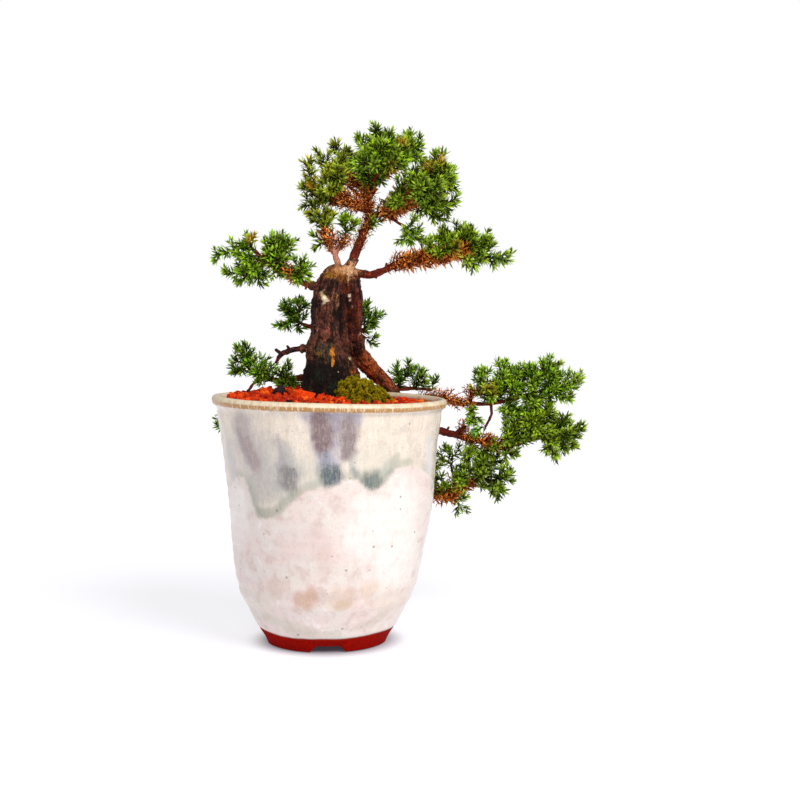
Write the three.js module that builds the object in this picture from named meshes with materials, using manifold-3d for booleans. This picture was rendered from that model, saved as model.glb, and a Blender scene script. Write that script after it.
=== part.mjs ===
// A Japanese garden juniper grown as a bonsai, in its tall hand-thrown pot.
// Millimetres, +Z up, seen from the front along +Y with +X to the right.

import * as THREE from 'three';
import { mergeVertices } from 'three/addons/utils/BufferGeometryUtils.js';
import Module from 'manifold-3d';

const wasm = await Module();
wasm.setup();

// The pot's axis, as the part stands with the middle of its bounding box at x = 0, y = 0.
const POT_AXIS = [-49.5, -10.3];

// The pot: a bucket on a low foot ring, with a rolled rim.
const POT_HEIGHT = 159.1;
const POT_SIDES = 28;
const RIM_RADIUS = 76;
const FOOT_RADIUS = 39.7;
const FOOT_WIDTH = 9;
const FOOT_EDGE = 0.8;
const RECESS_HEIGHT = 5;
const RECESS_DRAFT = 1.5;
const FLOOR_TOP = 12;
const DRAIN_RADIUS = 11;
const OUTER_WALL = [[43.3, 8], [50.6, 22], [56.4, 33.5], [60.6, 52], [66, 92], [69.3, 128], [71.4, 142], [73, 151.5]];
const LIP = [[75.2, 153.6], [RIM_RADIUS, 156.2], [75.2, 158.4], [73.2, POT_HEIGHT], [71.4, 157.8]];
const INNER_WALL = [[67.6, 147.5], [64, 131], [60.4, 92], [55, 52], [50.2, 34.5], [42.6, 20.5], [33, FLOOR_TOP]];
// The pot leans a little to the right, bulges there below its shoulder, and its rim dips there.
const POT_LEAN = 0.016;
const POT_LEAN_HEIGHT = 62;
const BULGE = 1.7;
const BULGE_HEIGHT = 90;
const BULGE_REACH = 28;
const RIM_DIP = 0.022;

// The hand-cut notches of the foot ring.
const NOTCH_COUNT = 4;
const NOTCH_TURN = 4;
const NOTCH_HEIGHT = 4;
const NOTCH_TOP = 15;
const NOTCH_BOTTOM = 23;

// What fills the pot.
const SEAT_GAP = 0.3;
const SOIL_TOP = 146;
const SOIL_RADIUS = 66;
const SOIL_SIDES = 14;
const MESH_SIZE = 34;
const MESH_THICKNESS = 1.2;
const MESH_HOLES = 3;
const MESH_BAR = 2.5;
const GRAVEL_TOP = 155;
const GRAVEL_DROP = 1.5;
const GRAVEL_MOUND = 4.5;
const MOUND_CENTRE = [-28, 5];
const MOUND_REACH = 38;
const GRAVEL_RINGS = [0.78, 0.55, 0.3];
const GRAVEL_RADIUS = 68;
const GRAVEL_SIDES = 20;
const GRAVEL_TAPER = 2.5;
const CHIP_COUNT = 24;
const CHIP_TURN = 137.5;
const CHIP_SIZE = [3, 5.2];
const CHIP_SEED = 5;
const CHIP_SINK = 0.25;
const RED_STONE = { centre: [-14, -25, 162], radii: [9.6, 6.4, 5.6], turn: 0.35 };
const DARK_STONE = { centre: [-31, -8, 161.5], radii: [6.8, 5.6, 4.8], turn: 1.2 };
const MOSS_CENTRE = [25, -13, 157];
const MOSS_RADII = [17.5, 19, 16];
const MOSS_DEPTH = 5;
const MOSS_SLANT = 0.35;

// The juniper's shoots: needles in whorls of three, each whorl turned by half a step.
const WHORL_STEP = 4.9;
const NEEDLE = 6;
const NEEDLE_LEAN = [52, 24];
const CORE_RADII = [0.65, 0.45];
const SIDE_FOOT = 0.25;
const BUD = 2.4;
const COLLAR_RADIUS = 1;
const COLLAR = 2.4;
const COLLAR_SIDES = 5;
const SIDE_PLACE = 0.5;
const SIDE_LEAN = 52;
const SIDE_LENGTH = [8, 14];
const CLEARANCE = 0.25;
const SEAT_STEP = 0.15;
// How far up its face a needle's root lies, how much shorter the last needles are, and how far a stem
// keeps its heading before it bends to its tip.
const NEEDLE_ROOT = 0.33;
const NEEDLE_TAPER = 0.3;
const STEM_BEND = 0.45;
const SIDE_START = 0.35;
const SIDE_RISE = 0.12;

// Sides of the limbs, and the depth of the flutes along the trunk and the stem.
const TRUNK_SIDES = 12;
const STEM_SIDES = 8;
const SCAR_SIDES = 6;
const ROOT_SIDES = 5;
const TWIG_SIDES = 3;
const THICK_LIMB = 3.3;
const TRUNK_FLUTES = 0.07;
const STEM_FLUTES = 0.06;

// The wood as rows of x, y, z and radius, from the pot's axis and the floor. Per millimetre behind the
// pot's axis, all of it lies this much further left and higher than its row says.
const BACK_SHIFT = 0.052;
const BACK_RISE = 0.023;
const ROOT_BASE = [
  [0, 0, 128, 12], [0, 0, 146, 17], [-0.3, 0, 155, 18], [-1.2, 0, 164, 15.8], [-0.6, 0, 173, 15.4],
  [-0.5, 0, 181, 13.4], [-2.3, 0, 188.5, 12], [-1, 0, 198, 9.6], [-1.3, 0, 212, 9.2],
  [-0.8, 0.5, 221, 8.7], [1.2, 1.5, 230, 8.6], [4.5, 3, 237, 7.4], [8, 4.5, 241.5, 4.5],
];
const ROOTS = [
  [[-8, -8, 170, 5.5], [-13, -12, 158, 5], [-16, -15, 148, 3.5]],
  [[8, -8, 168, 5.5], [13, -12, 157, 5], [16, -15, 148, 3.5]],
  [[11, 3, 186, 3.4], [16, 2, 178, 3.6], [17.5, 1, 170, 3.4], [16, 0, 160, 3.4], [14, 0, 149, 3]],
];
const FALLING_STEM = [
  [11.5, 5, 243, 4], [12.3, 5.5, 239.5, 7.4], [13.4, 6.5, 232, 8.3], [15, 8.5, 222, 7.6],
  [15.2, 10.5, 210, 7.2], [16, 14, 199, 6.7], [19, 24, 188, 6], [25.5, 37, 178.5, 5.7],
  [32.4, 51, 170.8, 5.4], [39, 64, 164.3, 5.2], [45.5, 74, 156, 5], [50, 82, 146, 4.6],
  [53, 88, 131, 4.2], [55.5, 92, 113, 3.6], [58, 94, 95, 2.9],
];
const TRUNK_WEB = [[7, 5, 236, 6], [7.5, 6, 222, 6.6], [8, 7, 206, 5.6], [10, 9, 194, 4.6], [12, 12, 187, 2.8]];
const SCARS = [
  [[-2.4, -5, 224, 4.6], [-2.8, -9.4, 223, 4.2]],
  [[-1, -5, 201, 4.2], [-1.2, -9.8, 200, 3.4], [-1.2, -10.8, 200, 1.8]],
];
const BRANCHES = [
  // The leader and the crown.
  [[13, 5.5, 239, 3.8], [16.5, 5, 247, 3.2], [19.2, 5, 254, 2.9], [24.6, 4, 267, 2.6], [27.4, 2, 274.5, 2.3],
    [27.3, 0, 281.5, 2]],
  [[27, 1, 275, 1.9], [40, 0, 278, 1.7], [51, -3, 284, 1.4], [62, -5, 291, 1.1]],
  [[40, 0, 278, 1.3], [48, 10, 287, 1.1], [54, 16, 294, 0.9]],
  [[51, -3, 284, 1.2], [58, -12, 286, 0.9]],
  [[27, 0, 279, 1.7], [17, -5, 284, 1.3], [6, -10, 291, 0.9]],
  [[27, 0.5, 278, 1.6], [12, 6, 283, 1.2], [3, 9, 285.5, 1.1], [-6, 11, 288, 0.9]],
  [[27.3, 0, 281, 1.9], [26, 1, 290, 1.6], [29, 2, 297, 1.3], [31, 2, 303, 1.1]],
  [[26, 1, 290, 1.3], [19, 7, 297, 1.1], [13, 10, 304, 0.9]],
  [[29, 2, 297, 1.3], [38, 3, 304, 1.1], [44, 3, 309, 0.9]],
  [[27, 1, 292, 1.3], [30, -8, 298, 1.1], [33, -14, 302, 0.9]],
  [[26, 1, 286, 1.2], [19, 13, 291, 1], [14, 19, 296, 0.9]],
  [[26, 1, 290, 1.2], [32, 12, 296, 1], [36, 19, 300, 0.9]],
  [[38, 0, 277, 1.1], [44, -5, 272, 1], [50, -8, 268, 0.9]],
  [[8, 3, 240, 2.4], [6, 2, 248, 2], [3, 1, 256, 1.6], [0, 0, 261, 1.2], [-2, -1, 264, 1]],
  [[5, 2, 251, 1.5], [9, 2, 257, 1.2], [12, 2, 261, 0.9]],
  // The right pad's branch, the left pad's branch and the dead twig under it.
  [[16, 2, 239, 3.2], [22, -1, 238.6, 2.5], [28.6, -3, 237.8, 2.4], [37, -4, 240.6, 2.3], [45.5, -5, 244.5, 2.1],
    [57, -6, 246, 1.9], [70, -7, 248, 1.6], [82, -8, 251, 1.2]],
  [[-3, 1, 229, 3.4], [-9, 0, 231, 2.3], [-14, -1, 232, 2], [-20, -2, 235, 1.8], [-25, -3, 239.5, 1.7],
    [-36, -4, 244, 1.4], [-42.5, -5, 249, 1.2], [-46, -6, 253, 1]],
  [[-7, -2, 190, 3], [-13, -2, 190, 2.2], [-17.6, -2, 190.2, 1.9], [-24.7, -2, 188.8, 1.8],
    [-30.3, -2, 186, 1.5], [-33.4, -2, 181, 0.9]],
  [[-29.5, -2, 186.4, 1.3], [-33.6, -2, 189.5, 0.9]],
  // The low branch on the left, and its trailer over the rim.
  [[-4, 6, 173, 4], [-12, 16, 171, 2.6], [-20, 22, 169.5, 2.2], [-30, 28, 167.5, 1.9], [-42, 33, 168.5, 1.5],
    [-50, 36, 172, 1.1]],
  [[-42, 33, 168.5, 1.2], [-48, 58, 167, 1], [-55, 72, 158, 1], [-66, 66, 143, 0.9]],
  // The twigs behind the trunk.
  [[-3, 5, 204, 3], [-12, 13, 204, 1.5], [-18, 17, 206, 1]],
  [[16, 13, 199, 2.6], [21, 22, 200, 1.6], [26, 28, 203, 1]],
  [[20, 20, 200, 1.3], [25, 26, 196, 0.9]],
  // The twig along the back rim.
  [[43, 70, 160, 2.6], [50, 77, 158, 1.8], [60, 81, 158, 1.4], [68, 82, 157.5, 1], [74, 82, 157, 0.9]],
  // The upper hanging branch.
  [[49, 80, 148, 3], [58, 83, 150, 2.2], [70, 84, 151, 2], [84, 82, 150.5, 1.8], [93, 80, 147, 1.6],
    [101, 78, 147.5, 1.5], [112, 76, 147.5, 1.4], [124, 74, 149.5, 1.3], [138, 72, 154, 1.1], [150, 71, 157.5, 0.9]],
  [[100, 78, 147.5, 1.4], [101, 77, 153, 1.2], [101, 77, 159, 0.9]],
  [[101, 77, 153, 1], [107, 77, 155.5, 0.8]],
  [[115, 75.5, 148, 1.1], [115, 74, 140, 1], [111, 73, 132, 0.9]],
  // The main hanging branch.
  [[52, 87, 133, 3.6], [60, 88, 130, 3.1], [70, 87, 128.5, 2.9], [80, 85, 127.5, 2.8], [90, 83, 125, 2.4],
    [103, 80, 122, 2.1], [116, 77, 119, 1.8], [128, 75, 118, 1.5], [140, 73, 121.5, 1.2], [150, 71, 124, 0.9]],
  [[90, 83, 125, 2], [97.5, 80, 131, 1.2]],
  // The low hanging branch.
  [[58, 94, 96, 2.8], [65, 91, 86, 2.4], [75, 88, 80.5, 2.1], [89, 85, 81, 1.9], [95, 84, 87, 1.6],
    [103, 82, 91, 1.4], [112, 80, 94, 0.9]],
  [[92, 84.5, 84, 1.3], [90, 83.5, 93, 1.1], [88, 83, 101, 0.9]],
];
// Stretches that still carry dead needles, as x, y, z points with a core radius at each end.
const DEAD_STRETCHES = [
  { points: [[46, -5, 244.5], [57, -6, 246], [70, -7, 248]], radii: [4.2, 3.2] },
  { points: [[24, -1.5, 280.5], [17, -5, 284], [11, -7.6, 288]], radii: [3.6, 2.7] },
  { points: [[20, 2.3, 280.4], [12, 6, 283], [5, 8, 285]], radii: [3.5, 2.6] },
  { points: [[76, 83.3, 150.9], [84, 82, 150.5], [93, 80, 147]], radii: [4.2, 3.5] },
  { points: [[78, 87.4, 80.6], [87, 85.4, 81]], radii: [4.4, 3.8] },
];
const DEAD_STEP = 4.5;
const DEAD_NEEDLE = 3.6;

// The leafy stems: where each leaves the wood, and each tip with 1 where the stem forks on its way.
const SPRAYS = {
  crown_apex: { at: [31, 2, 303], tips: [[33, 2, 335.5, 1], [20, -3, 329, 0], [43, -4, 330, 1]] },
  crown_upper_left: { at: [13, 10, 304], tips: [[3, 12, 326, 1], [17, 20, 320, 1]] },
  crown_upper_right: { at: [44, 3, 309], tips: [[54, 5, 331, 1], [63, -6, 323, 1]] },
  crown_right: { at: [62, -5, 291], tips: [[73, -2, 320, 1], [85, -6, 302, 1]] },
  crown_lower_right: { at: [54, -3.6, 286], tips: [[87, -3, 283, 1], [75, -10, 271, 1]] },
  crown_back_right: { at: [54, 16, 294], tips: [[68, 28, 313, 1], [76, 22, 294, 1]] },
  crown_front_right: { at: [58, -12, 286], tips: [[74, -26, 294, 1], [56, -29, 296, 1]] },
  crown_front_left: { at: [6, -10, 291], tips: [[-7, -13, 318, 1], [10, -24, 306, 1]] },
  crown_left: { at: [-6, 11, 288], tips: [[-13, 6, 316, 1], [-19, 5, 297, 0]] },
  crown_lower_left: { at: [3, 9, 285.5], tips: [[-19, 2, 281, 1]] },
  crown_front: { at: [33, -14, 302], tips: [[34, -26, 324, 1], [15, -26, 309, 1], [52, -28, 310, 1]] },
  crown_back_left: { at: [14, 19, 296], tips: [[3, 31, 310, 1]] },
  crown_back: { at: [36, 19, 300], tips: [[40, 33, 319, 1], [26, 35, 306, 1]] },
  crown_hanging: { at: [50, -8, 268], tips: [[64, -11, 257, 1], [48, -18, 256, 0]] },
  crown_middle: { at: [45, -1.4, 280.7], tips: [[50, -19, 303, 1], [43, -22, 284, 0]] },
  top_twig_left: { at: [-2, -1, 264], tips: [[-12, -5, 281, 1], [1, 4, 281, 1]] },
  top_twig_right: { at: [12, 2, 261], tips: [[11, -3, 277, 1]] },
  top_twig_low: { at: [1, 0.3, 259.5], tips: [[-10, -3, 255, 0]] },
  right_pad_tip: { at: [82, -8, 251], tips: [[121, -8, 246, 1], [108, -2, 263, 1], [97, -17, 242, 1]] },
  right_pad_middle: { at: [74, -7.3, 249], tips: [[94, 3, 269, 1], [75, -10, 267, 1]] },
  right_pad_front: { at: [66, -6.7, 247.4], tips: [[84, -24, 256, 0], [64, -22, 260, 0]] },
  left_pad_tip: { at: [-46, -6, 253], tips: [[-76, -8, 248, 1], [-53, -4, 265, 0]] },
  left_pad_low: { at: [-41, -4.8, 248], tips: [[-58, -14, 231, 1], [-45, 8, 230, 1], [-69, -2, 237, 0]] },
  left_pad_middle: { at: [-34, -3.8, 243.2], tips: [[-20, -11, 262, 1], [-38, -13, 264, 0]] },
  left_pad_root: { at: [-25, -3, 239.5], tips: [[-14, -15, 235, 1]] },
  low_left_tip: { at: [-50, 36, 172], tips: [[-60, 38, 193, 1], [-67, 36, 173, 1]] },
  low_left_middle: { at: [-37, 31, 168], tips: [[-42, 25, 180, 1], [-50, 22, 172, 0]] },
  low_left_inner: { at: [-25, 25, 168.5], tips: [[-21, 14, 163, 1], [-34, 21, 163, 0]] },
  low_left_trailer: { at: [-66, 66, 143], tips: [[-75, 45, 131, 0]] },
  behind_left: { at: [-18, 17, 206], tips: [[-30, 20, 220, 1], [-34, 18, 203, 1], [-15, 20, 222, 1]] },
  behind_right: { at: [26, 28, 203], tips: [[26, 30, 222, 1], [34, 32, 208, 0]] },
  behind_right_low: { at: [25, 26, 196], tips: [[33, 30, 190, 0]] },
  back_rim_inner: { at: [50, 77, 158], tips: [[50, 80, 173, 1], [62, 84, 176, 1]] },
  back_rim_outer: { at: [74, 82, 157], tips: [[77, 84, 167, 0]] },
  hanging_upper_stub: { at: [111, 76.2, 147.5], tips: [[107, 74, 175, 1]] },
  hanging_upper_middle: { at: [120, 74.7, 148.8], tips: [[122, 68, 181, 1], [136, 70, 175, 1]] },
  hanging_upper_back: { at: [131, 73, 151.5], tips: [[144, 86, 176, 1]] },
  hanging_upper_outer: { at: [142, 71.7, 155.2], tips: [[152, 62, 180, 1], [163, 78, 179, 1]] },
  hanging_upper_tip: { at: [150, 71, 157.5], tips: [[182, 70, 167, 1], [172, 62, 150, 1]] },
  hanging_upper_bright: { at: [111, 73, 132], tips: [[100, 71, 128, 0]] },
  hanging_upper_drop: { at: [101, 78, 147.5], tips: [[103, 72, 131, 0]] },
  hanging_main_tip: {
    at: [150, 71, 124],
    tips: [[182, 70, 130, 1], [177, 64, 119, 0], [159, 62, 108, 1], [170, 78, 139, 0]],
  },
  hanging_main_outer: { at: [138, 73.4, 120.9], tips: [[153, 84, 142, 1]] },
  hanging_main_middle: { at: [130, 74.6, 118.6], tips: [[148, 60, 135, 1], [136, 82, 143, 1]] },
  hanging_main_low: { at: [120, 76.3, 118.7], tips: [[134, 70, 109, 1]] },
  hanging_main_drop: { at: [101, 80.5, 122.4], tips: [[99, 76, 103, 1]] },
  hanging_low_tip: { at: [112, 80, 94], tips: [[134, 77, 98, 1], [124, 72, 80, 1]] },
  hanging_low_middle: { at: [104, 81.8, 91.4], tips: [[110, 70, 112, 1], [123, 90, 110, 1]] },
  hanging_low_upper: { at: [88, 83, 101], tips: [[85, 80, 119, 1]] },
  hanging_low_inner: { at: [70, 89.5, 82.8], tips: [[76, 84, 108, 1], [64, 80, 74, 0]] },
  hanging_low_drop: { at: [89, 85, 81], tips: [[97, 78, 69, 0]] },
};

const FINISHES = {
  glaze: { color: 0xe6dccb, roughness: 0.28, metalness: 0 },
  plastic: { color: 0x23241f, roughness: 0.6, metalness: 0 },
  soil: { color: 0x4a3425, roughness: 0.95, metalness: 0 },
  lava: { color: 0xd84a22, roughness: 0.85, metalness: 0 },
  dark_lava: { color: 0x33211f, roughness: 0.85, metalness: 0 },
  moss: { color: 0x76762a, roughness: 0.95, metalness: 0 },
  bark: { color: 0x6a4136, roughness: 0.85, metalness: 0 },
  needles: { color: 0x3f7a35, roughness: 0.55, metalness: 0 },
  olive_needles: { color: 0x75802f, roughness: 0.55, metalness: 0 },
};

const vector = ([x, y, z]) => new THREE.Vector3(x, y, z);
const placed = ([x, y, z, ...rest]) => [x - BACK_SHIFT * y, y, z + BACK_RISE * y, ...rest];
const radians = THREE.MathUtils.degToRad;
const lerp = THREE.MathUtils.lerp;

// Numbers from 0 to 1 that are the same on every run.
function seeded(seed) {
  let state = (Math.imul(seed + 1, 2654435761) + 12345) >>> 0;
  return () => {
    state = (Math.imul(state, 1664525) + 1013904223) >>> 0;
    return state / 4294967296;
  };
}

// A closed geometry as a solid: shared corners are merged and faces of no area left out.
function solid(geometry) {
  geometry.deleteAttribute('normal');
  geometry.deleteAttribute('uv');
  const merged = mergeVertices(geometry, 1e-4);
  const corners = merged.index.array;
  const faces = [];
  for (let i = 0; i < corners.length; i += 3) {
    const [a, b, c] = corners.slice(i, i + 3);
    if (a !== b && b !== c && c !== a) faces.push(a, b, c);
  }
  return new wasm.Manifold(new wasm.Mesh({
    numProp: 3,
    vertProperties: new Float32Array(merged.attributes.position.array),
    triVerts: new Uint32Array(faces),
  }));
}

function joined(bodies) {
  return wasm.Manifold.union(bodies);
}

// Moves every point of a geometry by a rule.
function reshape(geometry, rule) {
  const points = geometry.attributes.position;
  for (let i = 0; i < points.count; i += 1) {
    const moved = rule(new THREE.Vector3().fromBufferAttribute(points, i));
    points.setXYZ(i, moved.x, moved.y, moved.z);
  }
  return geometry;
}

// A closed outline of radius and height pairs, turned about +Z.
function turned(outline, sides) {
  const points = outline.map(([radius, height]) => new THREE.Vector2(radius, height));
  return new THREE.LatheGeometry(points, sides).rotateX(Math.PI / 2);
}

// The lean of the pot and the dip of its rim, which what it holds follows.
function leaning(point) {
  const bulge = BULGE * Math.exp(-(((point.z - BULGE_HEIGHT) / BULGE_REACH) ** 2));
  const lean = POT_LEAN * (point.z - POT_LEAN_HEIGHT) + bulge;
  const dip = RIM_DIP * point.x * (point.z / POT_HEIGHT) ** 4;
  return new THREE.Vector3(point.x + lean, point.y, point.z - dip);
}

function pot() {
  const foot = [[FOOT_RADIUS, FOOT_EDGE], [FOOT_RADIUS - FOOT_EDGE, 0]];
  const ring = FOOT_RADIUS - FOOT_WIDTH;
  const under = [[ring, 0], [ring - RECESS_DRAFT, RECESS_HEIGHT], [DRAIN_RADIUS, RECESS_HEIGHT]];
  const outline = [[DRAIN_RADIUS, FLOOR_TOP], ...under.reverse(), ...foot.reverse(), ...OUTER_WALL, ...LIP,
    ...INNER_WALL, [DRAIN_RADIUS, FLOOR_TOP]];
  let body = solid(reshape(turned(outline, POT_SIDES), leaning));
  for (let i = 0; i < NOTCH_COUNT; i += 1) {
    body = body.subtract(solid(notch(radians(NOTCH_TURN + (360 / NOTCH_COUNT) * i))));
  }
  return body;
}

// A wedge that cuts one notch out through the foot ring, widest at the floor.
function notch(turn) {
  const below = 1;
  const flare = (NOTCH_BOTTOM - NOTCH_TOP) / 2 / NOTCH_HEIGHT;
  const shape = new THREE.Shape([
    new THREE.Vector2(-NOTCH_BOTTOM / 2 - flare * below, -below),
    new THREE.Vector2(NOTCH_BOTTOM / 2 + flare * below, -below),
    new THREE.Vector2(NOTCH_TOP / 2, NOTCH_HEIGHT),
    new THREE.Vector2(-NOTCH_TOP / 2, NOTCH_HEIGHT),
  ]);
  const cutter = new THREE.ExtrudeGeometry(shape, { depth: 2 * FOOT_WIDTH, bevelEnabled: false });
  cutter.rotateX(Math.PI / 2);
  cutter.translate(0, -FOOT_RADIUS + 1.5 * FOOT_WIDTH, 0);
  return cutter.rotateZ(turn);
}

function drainageMesh() {
  const pitch = (MESH_SIZE - MESH_BAR) / MESH_HOLES;
  const bars = [];
  for (let i = 0; i <= MESH_HOLES; i += 1) {
    const place = (i - MESH_HOLES / 2) * pitch;
    bars.push(new THREE.BoxGeometry(MESH_BAR, MESH_SIZE, MESH_THICKNESS).translate(place, 0, 0));
    bars.push(new THREE.BoxGeometry(MESH_SIZE, MESH_BAR, MESH_THICKNESS).translate(0, place, 0));
  }
  const height = FLOOR_TOP + SEAT_GAP + MESH_THICKNESS / 2;
  return joined(bars.map((bar) => solid(reshape(bar.translate(0, 0, height), leaning))));
}

function soil() {
  const side = INNER_WALL.map(([radius, height]) => [radius - SEAT_GAP, height + SEAT_GAP]).reverse();
  const filled = side.filter(([, height]) => height < SOIL_TOP);
  const outline = [[0, FLOOR_TOP + SEAT_GAP], ...filled, [SOIL_RADIUS, SOIL_TOP], [0, SOIL_TOP]];
  const pocketSize = MESH_SIZE + 2 * SEAT_GAP;
  const pocket = new THREE.BoxGeometry(pocketSize, pocketSize, 2 * (MESH_THICKNESS + SEAT_GAP));
  pocket.translate(0, 0, FLOOR_TOP + SEAT_GAP);
  return solid(reshape(turned(outline, SOIL_SIDES), leaning))
    .subtract(solid(reshape(pocket, leaning)))
    .subtract(rootBase(SEAT_GAP));
}

// The gravel is heaped on the left of the trunk and lies lower towards the right-hand rim.
function gravelHeight(x, y) {
  const away = Math.hypot(x - MOUND_CENTRE[0], y - MOUND_CENTRE[1]) / MOUND_REACH;
  return GRAVEL_TOP + GRAVEL_MOUND * Math.exp(-(away ** 2)) - GRAVEL_DROP * THREE.MathUtils.smoothstep(x, 15, 60);
}

function gravel() {
  const bottom = SOIL_TOP + SEAT_GAP;
  const rings = GRAVEL_RINGS.map((share) => [GRAVEL_RADIUS * share, GRAVEL_TOP]);
  const outline = [[0, bottom], [GRAVEL_RADIUS - GRAVEL_TAPER, bottom], [GRAVEL_RADIUS, GRAVEL_TOP], ...rings,
    [0, GRAVEL_TOP]];
  const bed = reshape(turned(outline, GRAVEL_SIDES), (point) => {
    const height = point.z > bottom + 1 ? gravelHeight(point.x, point.y) : bottom;
    return new THREE.Vector3(point.x, point.y, height);
  });
  const pieces = [solid(bed)];
  const random = seeded(CHIP_SEED);
  for (let i = 0; i < CHIP_COUNT; i += 1) {
    const size = lerp(...CHIP_SIZE, random());
    const reach = (GRAVEL_RADIUS - 5) * Math.sqrt((i + 0.5) / CHIP_COUNT);
    const turn = i * radians(CHIP_TURN);
    const chip = new THREE.OctahedronGeometry(size).scale(1.1, 0.9, 0.75);
    chip.rotateX(random() * 3).rotateZ(random() * 6);
    const [x, y] = [reach * Math.cos(turn), reach * Math.sin(turn)];
    chip.translate(x, y, gravelHeight(x, y) + CHIP_SINK * size);
    if (reach > ROOT_BASE[2][3]) pieces.push(solid(chip));
  }
  const bedded = joined(pieces).getMesh();
  return solid(reshape(geometryOf(bedded), leaning));
}

// A broken lava stone, grown by a margin where it is the hollow that the stone lies in.
function stone({ centre, radii, turn }, margin = 0) {
  const rock = new THREE.IcosahedronGeometry(1).scale(...radii.map((radius) => radius + margin));
  return solid(rock.rotateX(0.3).rotateZ(turn).translate(...centre));
}
const redStone = (margin) => stone(RED_STONE, margin);
const darkStone = (margin) => stone(DARK_STONE, margin);

// The moss cushion: a dome with a tufted top that is highest beside the trunk, and a shallow bowl below.
function mossCushion(margin = 0) {
  const [rx, ry, rz] = MOSS_RADII.map((radius) => radius + margin);
  const dome = reshape(new THREE.SphereGeometry(1, 12, 7).rotateX(Math.PI / 2), (point) => {
    const along = Math.atan2(point.y, point.x);
    const tufts = margin > 0 ? 1.03 : 1 - 0.1 * Math.abs(Math.sin(4.5 * along) * Math.sin(5 * point.z));
    const height = point.z > 0 ? rz * tufts : MOSS_DEPTH + margin;
    const slant = point.z > 0 ? MOSS_SLANT * point.z * rz : 0;
    return new THREE.Vector3(point.x * rx * tufts - slant, point.y * ry * tufts, point.z * height);
  });
  return solid(dome.translate(...MOSS_CENTRE));
}

// Frames along a row of points, each turned as little as it can be from the one before.
function framesAlong(points) {
  const last = points.length - 1;
  let side = null;
  return points.map((point, i) => {
    const along = points[Math.min(i + 1, last)].clone().sub(points[Math.max(i - 1, 0)]).normalize();
    if (!side) side = Math.abs(along.x) < 0.8 ? new THREE.Vector3(1, 0, 0) : new THREE.Vector3(0, 1, 0);
    side = side.clone().addScaledVector(along, -side.dot(along)).normalize();
    return { point, along, side, across: along.clone().cross(side) };
  });
}

// A tapered limb through rows of x, y, z and radius, with long flutes where it has some.
function limb(rows, sides, { steps = 1, flutes = 0, margin = 0 } = {}) {
  const line = rows.map(vector);
  line[0].addScaledVector(line[0].clone().sub(line[1]).normalize(), margin);
  line.at(-1).addScaledVector(line.at(-1).clone().sub(line.at(-2)).normalize(), margin);
  const curve = new THREE.CatmullRomCurve3(line);
  const count = (rows.length - 1) * steps;
  const places = Array.from({ length: count + 1 }, (_, i) => i / count);
  const frames = framesAlong(places.map((place) => curve.getPoint(place)));
  const radii = places.map((place) => {
    const row = Math.min(Math.floor(place * (rows.length - 1)), rows.length - 2);
    return lerp(rows[row][3], rows[row + 1][3], place * (rows.length - 1) - row) + margin;
  });
  const tube = new THREE.CylinderGeometry(1, 1, 1, sides, count);
  return solid(reshape(tube, ({ x, y, z }) => {
    const ring = Math.round((y + 0.5) * count);
    const { point, side, across } = frames[ring];
    const angle = Math.atan2(z, x);
    const wave = 1 + flutes * Math.sin(3 * angle + 0.5 * ring) + 0.6 * flutes * Math.sin(5 * angle - 0.3 * ring);
    const reach = radii[ring] * wave;
    return point.clone().addScaledVector(side, x * reach).addScaledVector(across, -z * reach);
  }));
}

// The foot of the trunk with its surface roots, or the plain hole around them.
function rootBase(margin = 0) {
  const trunk = limb(ROOT_BASE.map(placed), TRUNK_SIDES, { flutes: TRUNK_FLUTES, margin });
  return joined([trunk, ...ROOTS.map((rows) => limb(rows.map(placed), ROOT_SIDES, { margin }))]);
}

// A slim core with needles in whorls of three, raised from every second face of each ring.
function needled(points, { radii, needle, foot = radii[0], bare = 0, phase = 0 }) {
  const sides = 3;
  const frames = framesAlong(points);
  const last = frames.length - 1;
  const corners = [];
  const faces = [];
  const add = (point) => corners.push(point.x, point.y, point.z) / 3 - 1;
  const outward = ({ side, across }, angle) => side.clone().multiplyScalar(Math.cos(angle))
    .addScaledVector(across, Math.sin(angle));
  const turn = (2 * Math.PI) / sides;
  const places = Array.from({ length: sides }, (_, j) => j);
  const rings = frames.map((frame, i) => places.map((j) => {
    const angle = phase + (i / 2 + j) * turn;
    const radius = i === 0 ? foot : lerp(...radii, i / last);
    return add(frame.point.clone().addScaledVector(outward(frame, angle), radius));
  }));
  for (let i = 0; i < last; i += 1) {
    const grown = i / last;
    const lean = radians(lerp(...NEEDLE_LEAN, grown ** 2));
    const length = needle * (1 - NEEDLE_TAPER * grown ** 3);
    for (const j of places) {
      const [a, b] = [rings[i][j], rings[i][(j + 1) % sides]];
      const [c, d] = [rings[i + 1][j], rings[i + 1][(j + 1) % sides]];
      faces.push(c, b, d);
      if (i < bare) {
        faces.push(a, b, c);
      } else {
        const out = outward(frames[i], phase + ((i + 1) / 2 + j) * turn);
        const root = frames[i].point.clone().lerp(frames[i + 1].point, NEEDLE_ROOT);
        const tip = add(root.addScaledVector(out, length * Math.sin(lean) + radii[1] * 0.5)
          .addScaledVector(frames[i].along, length * Math.cos(lean)));
        faces.push(a, b, tip, b, c, tip, c, a, tip);
      }
    }
  }
  const end = add(frames[last].point.clone().addScaledVector(frames[last].along, BUD));
  for (const j of places) faces.push(rings[last][j], rings[last][(j + 1) % sides], end);
  for (const j of places.slice(2)) faces.push(rings[0][j], rings[0][j - 1], rings[0][0]);
  const geometry = new THREE.BufferGeometry();
  geometry.setAttribute('position', new THREE.Float32BufferAttribute(corners, 3));
  geometry.setIndex(faces);
  return solid(geometry);
}

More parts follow.
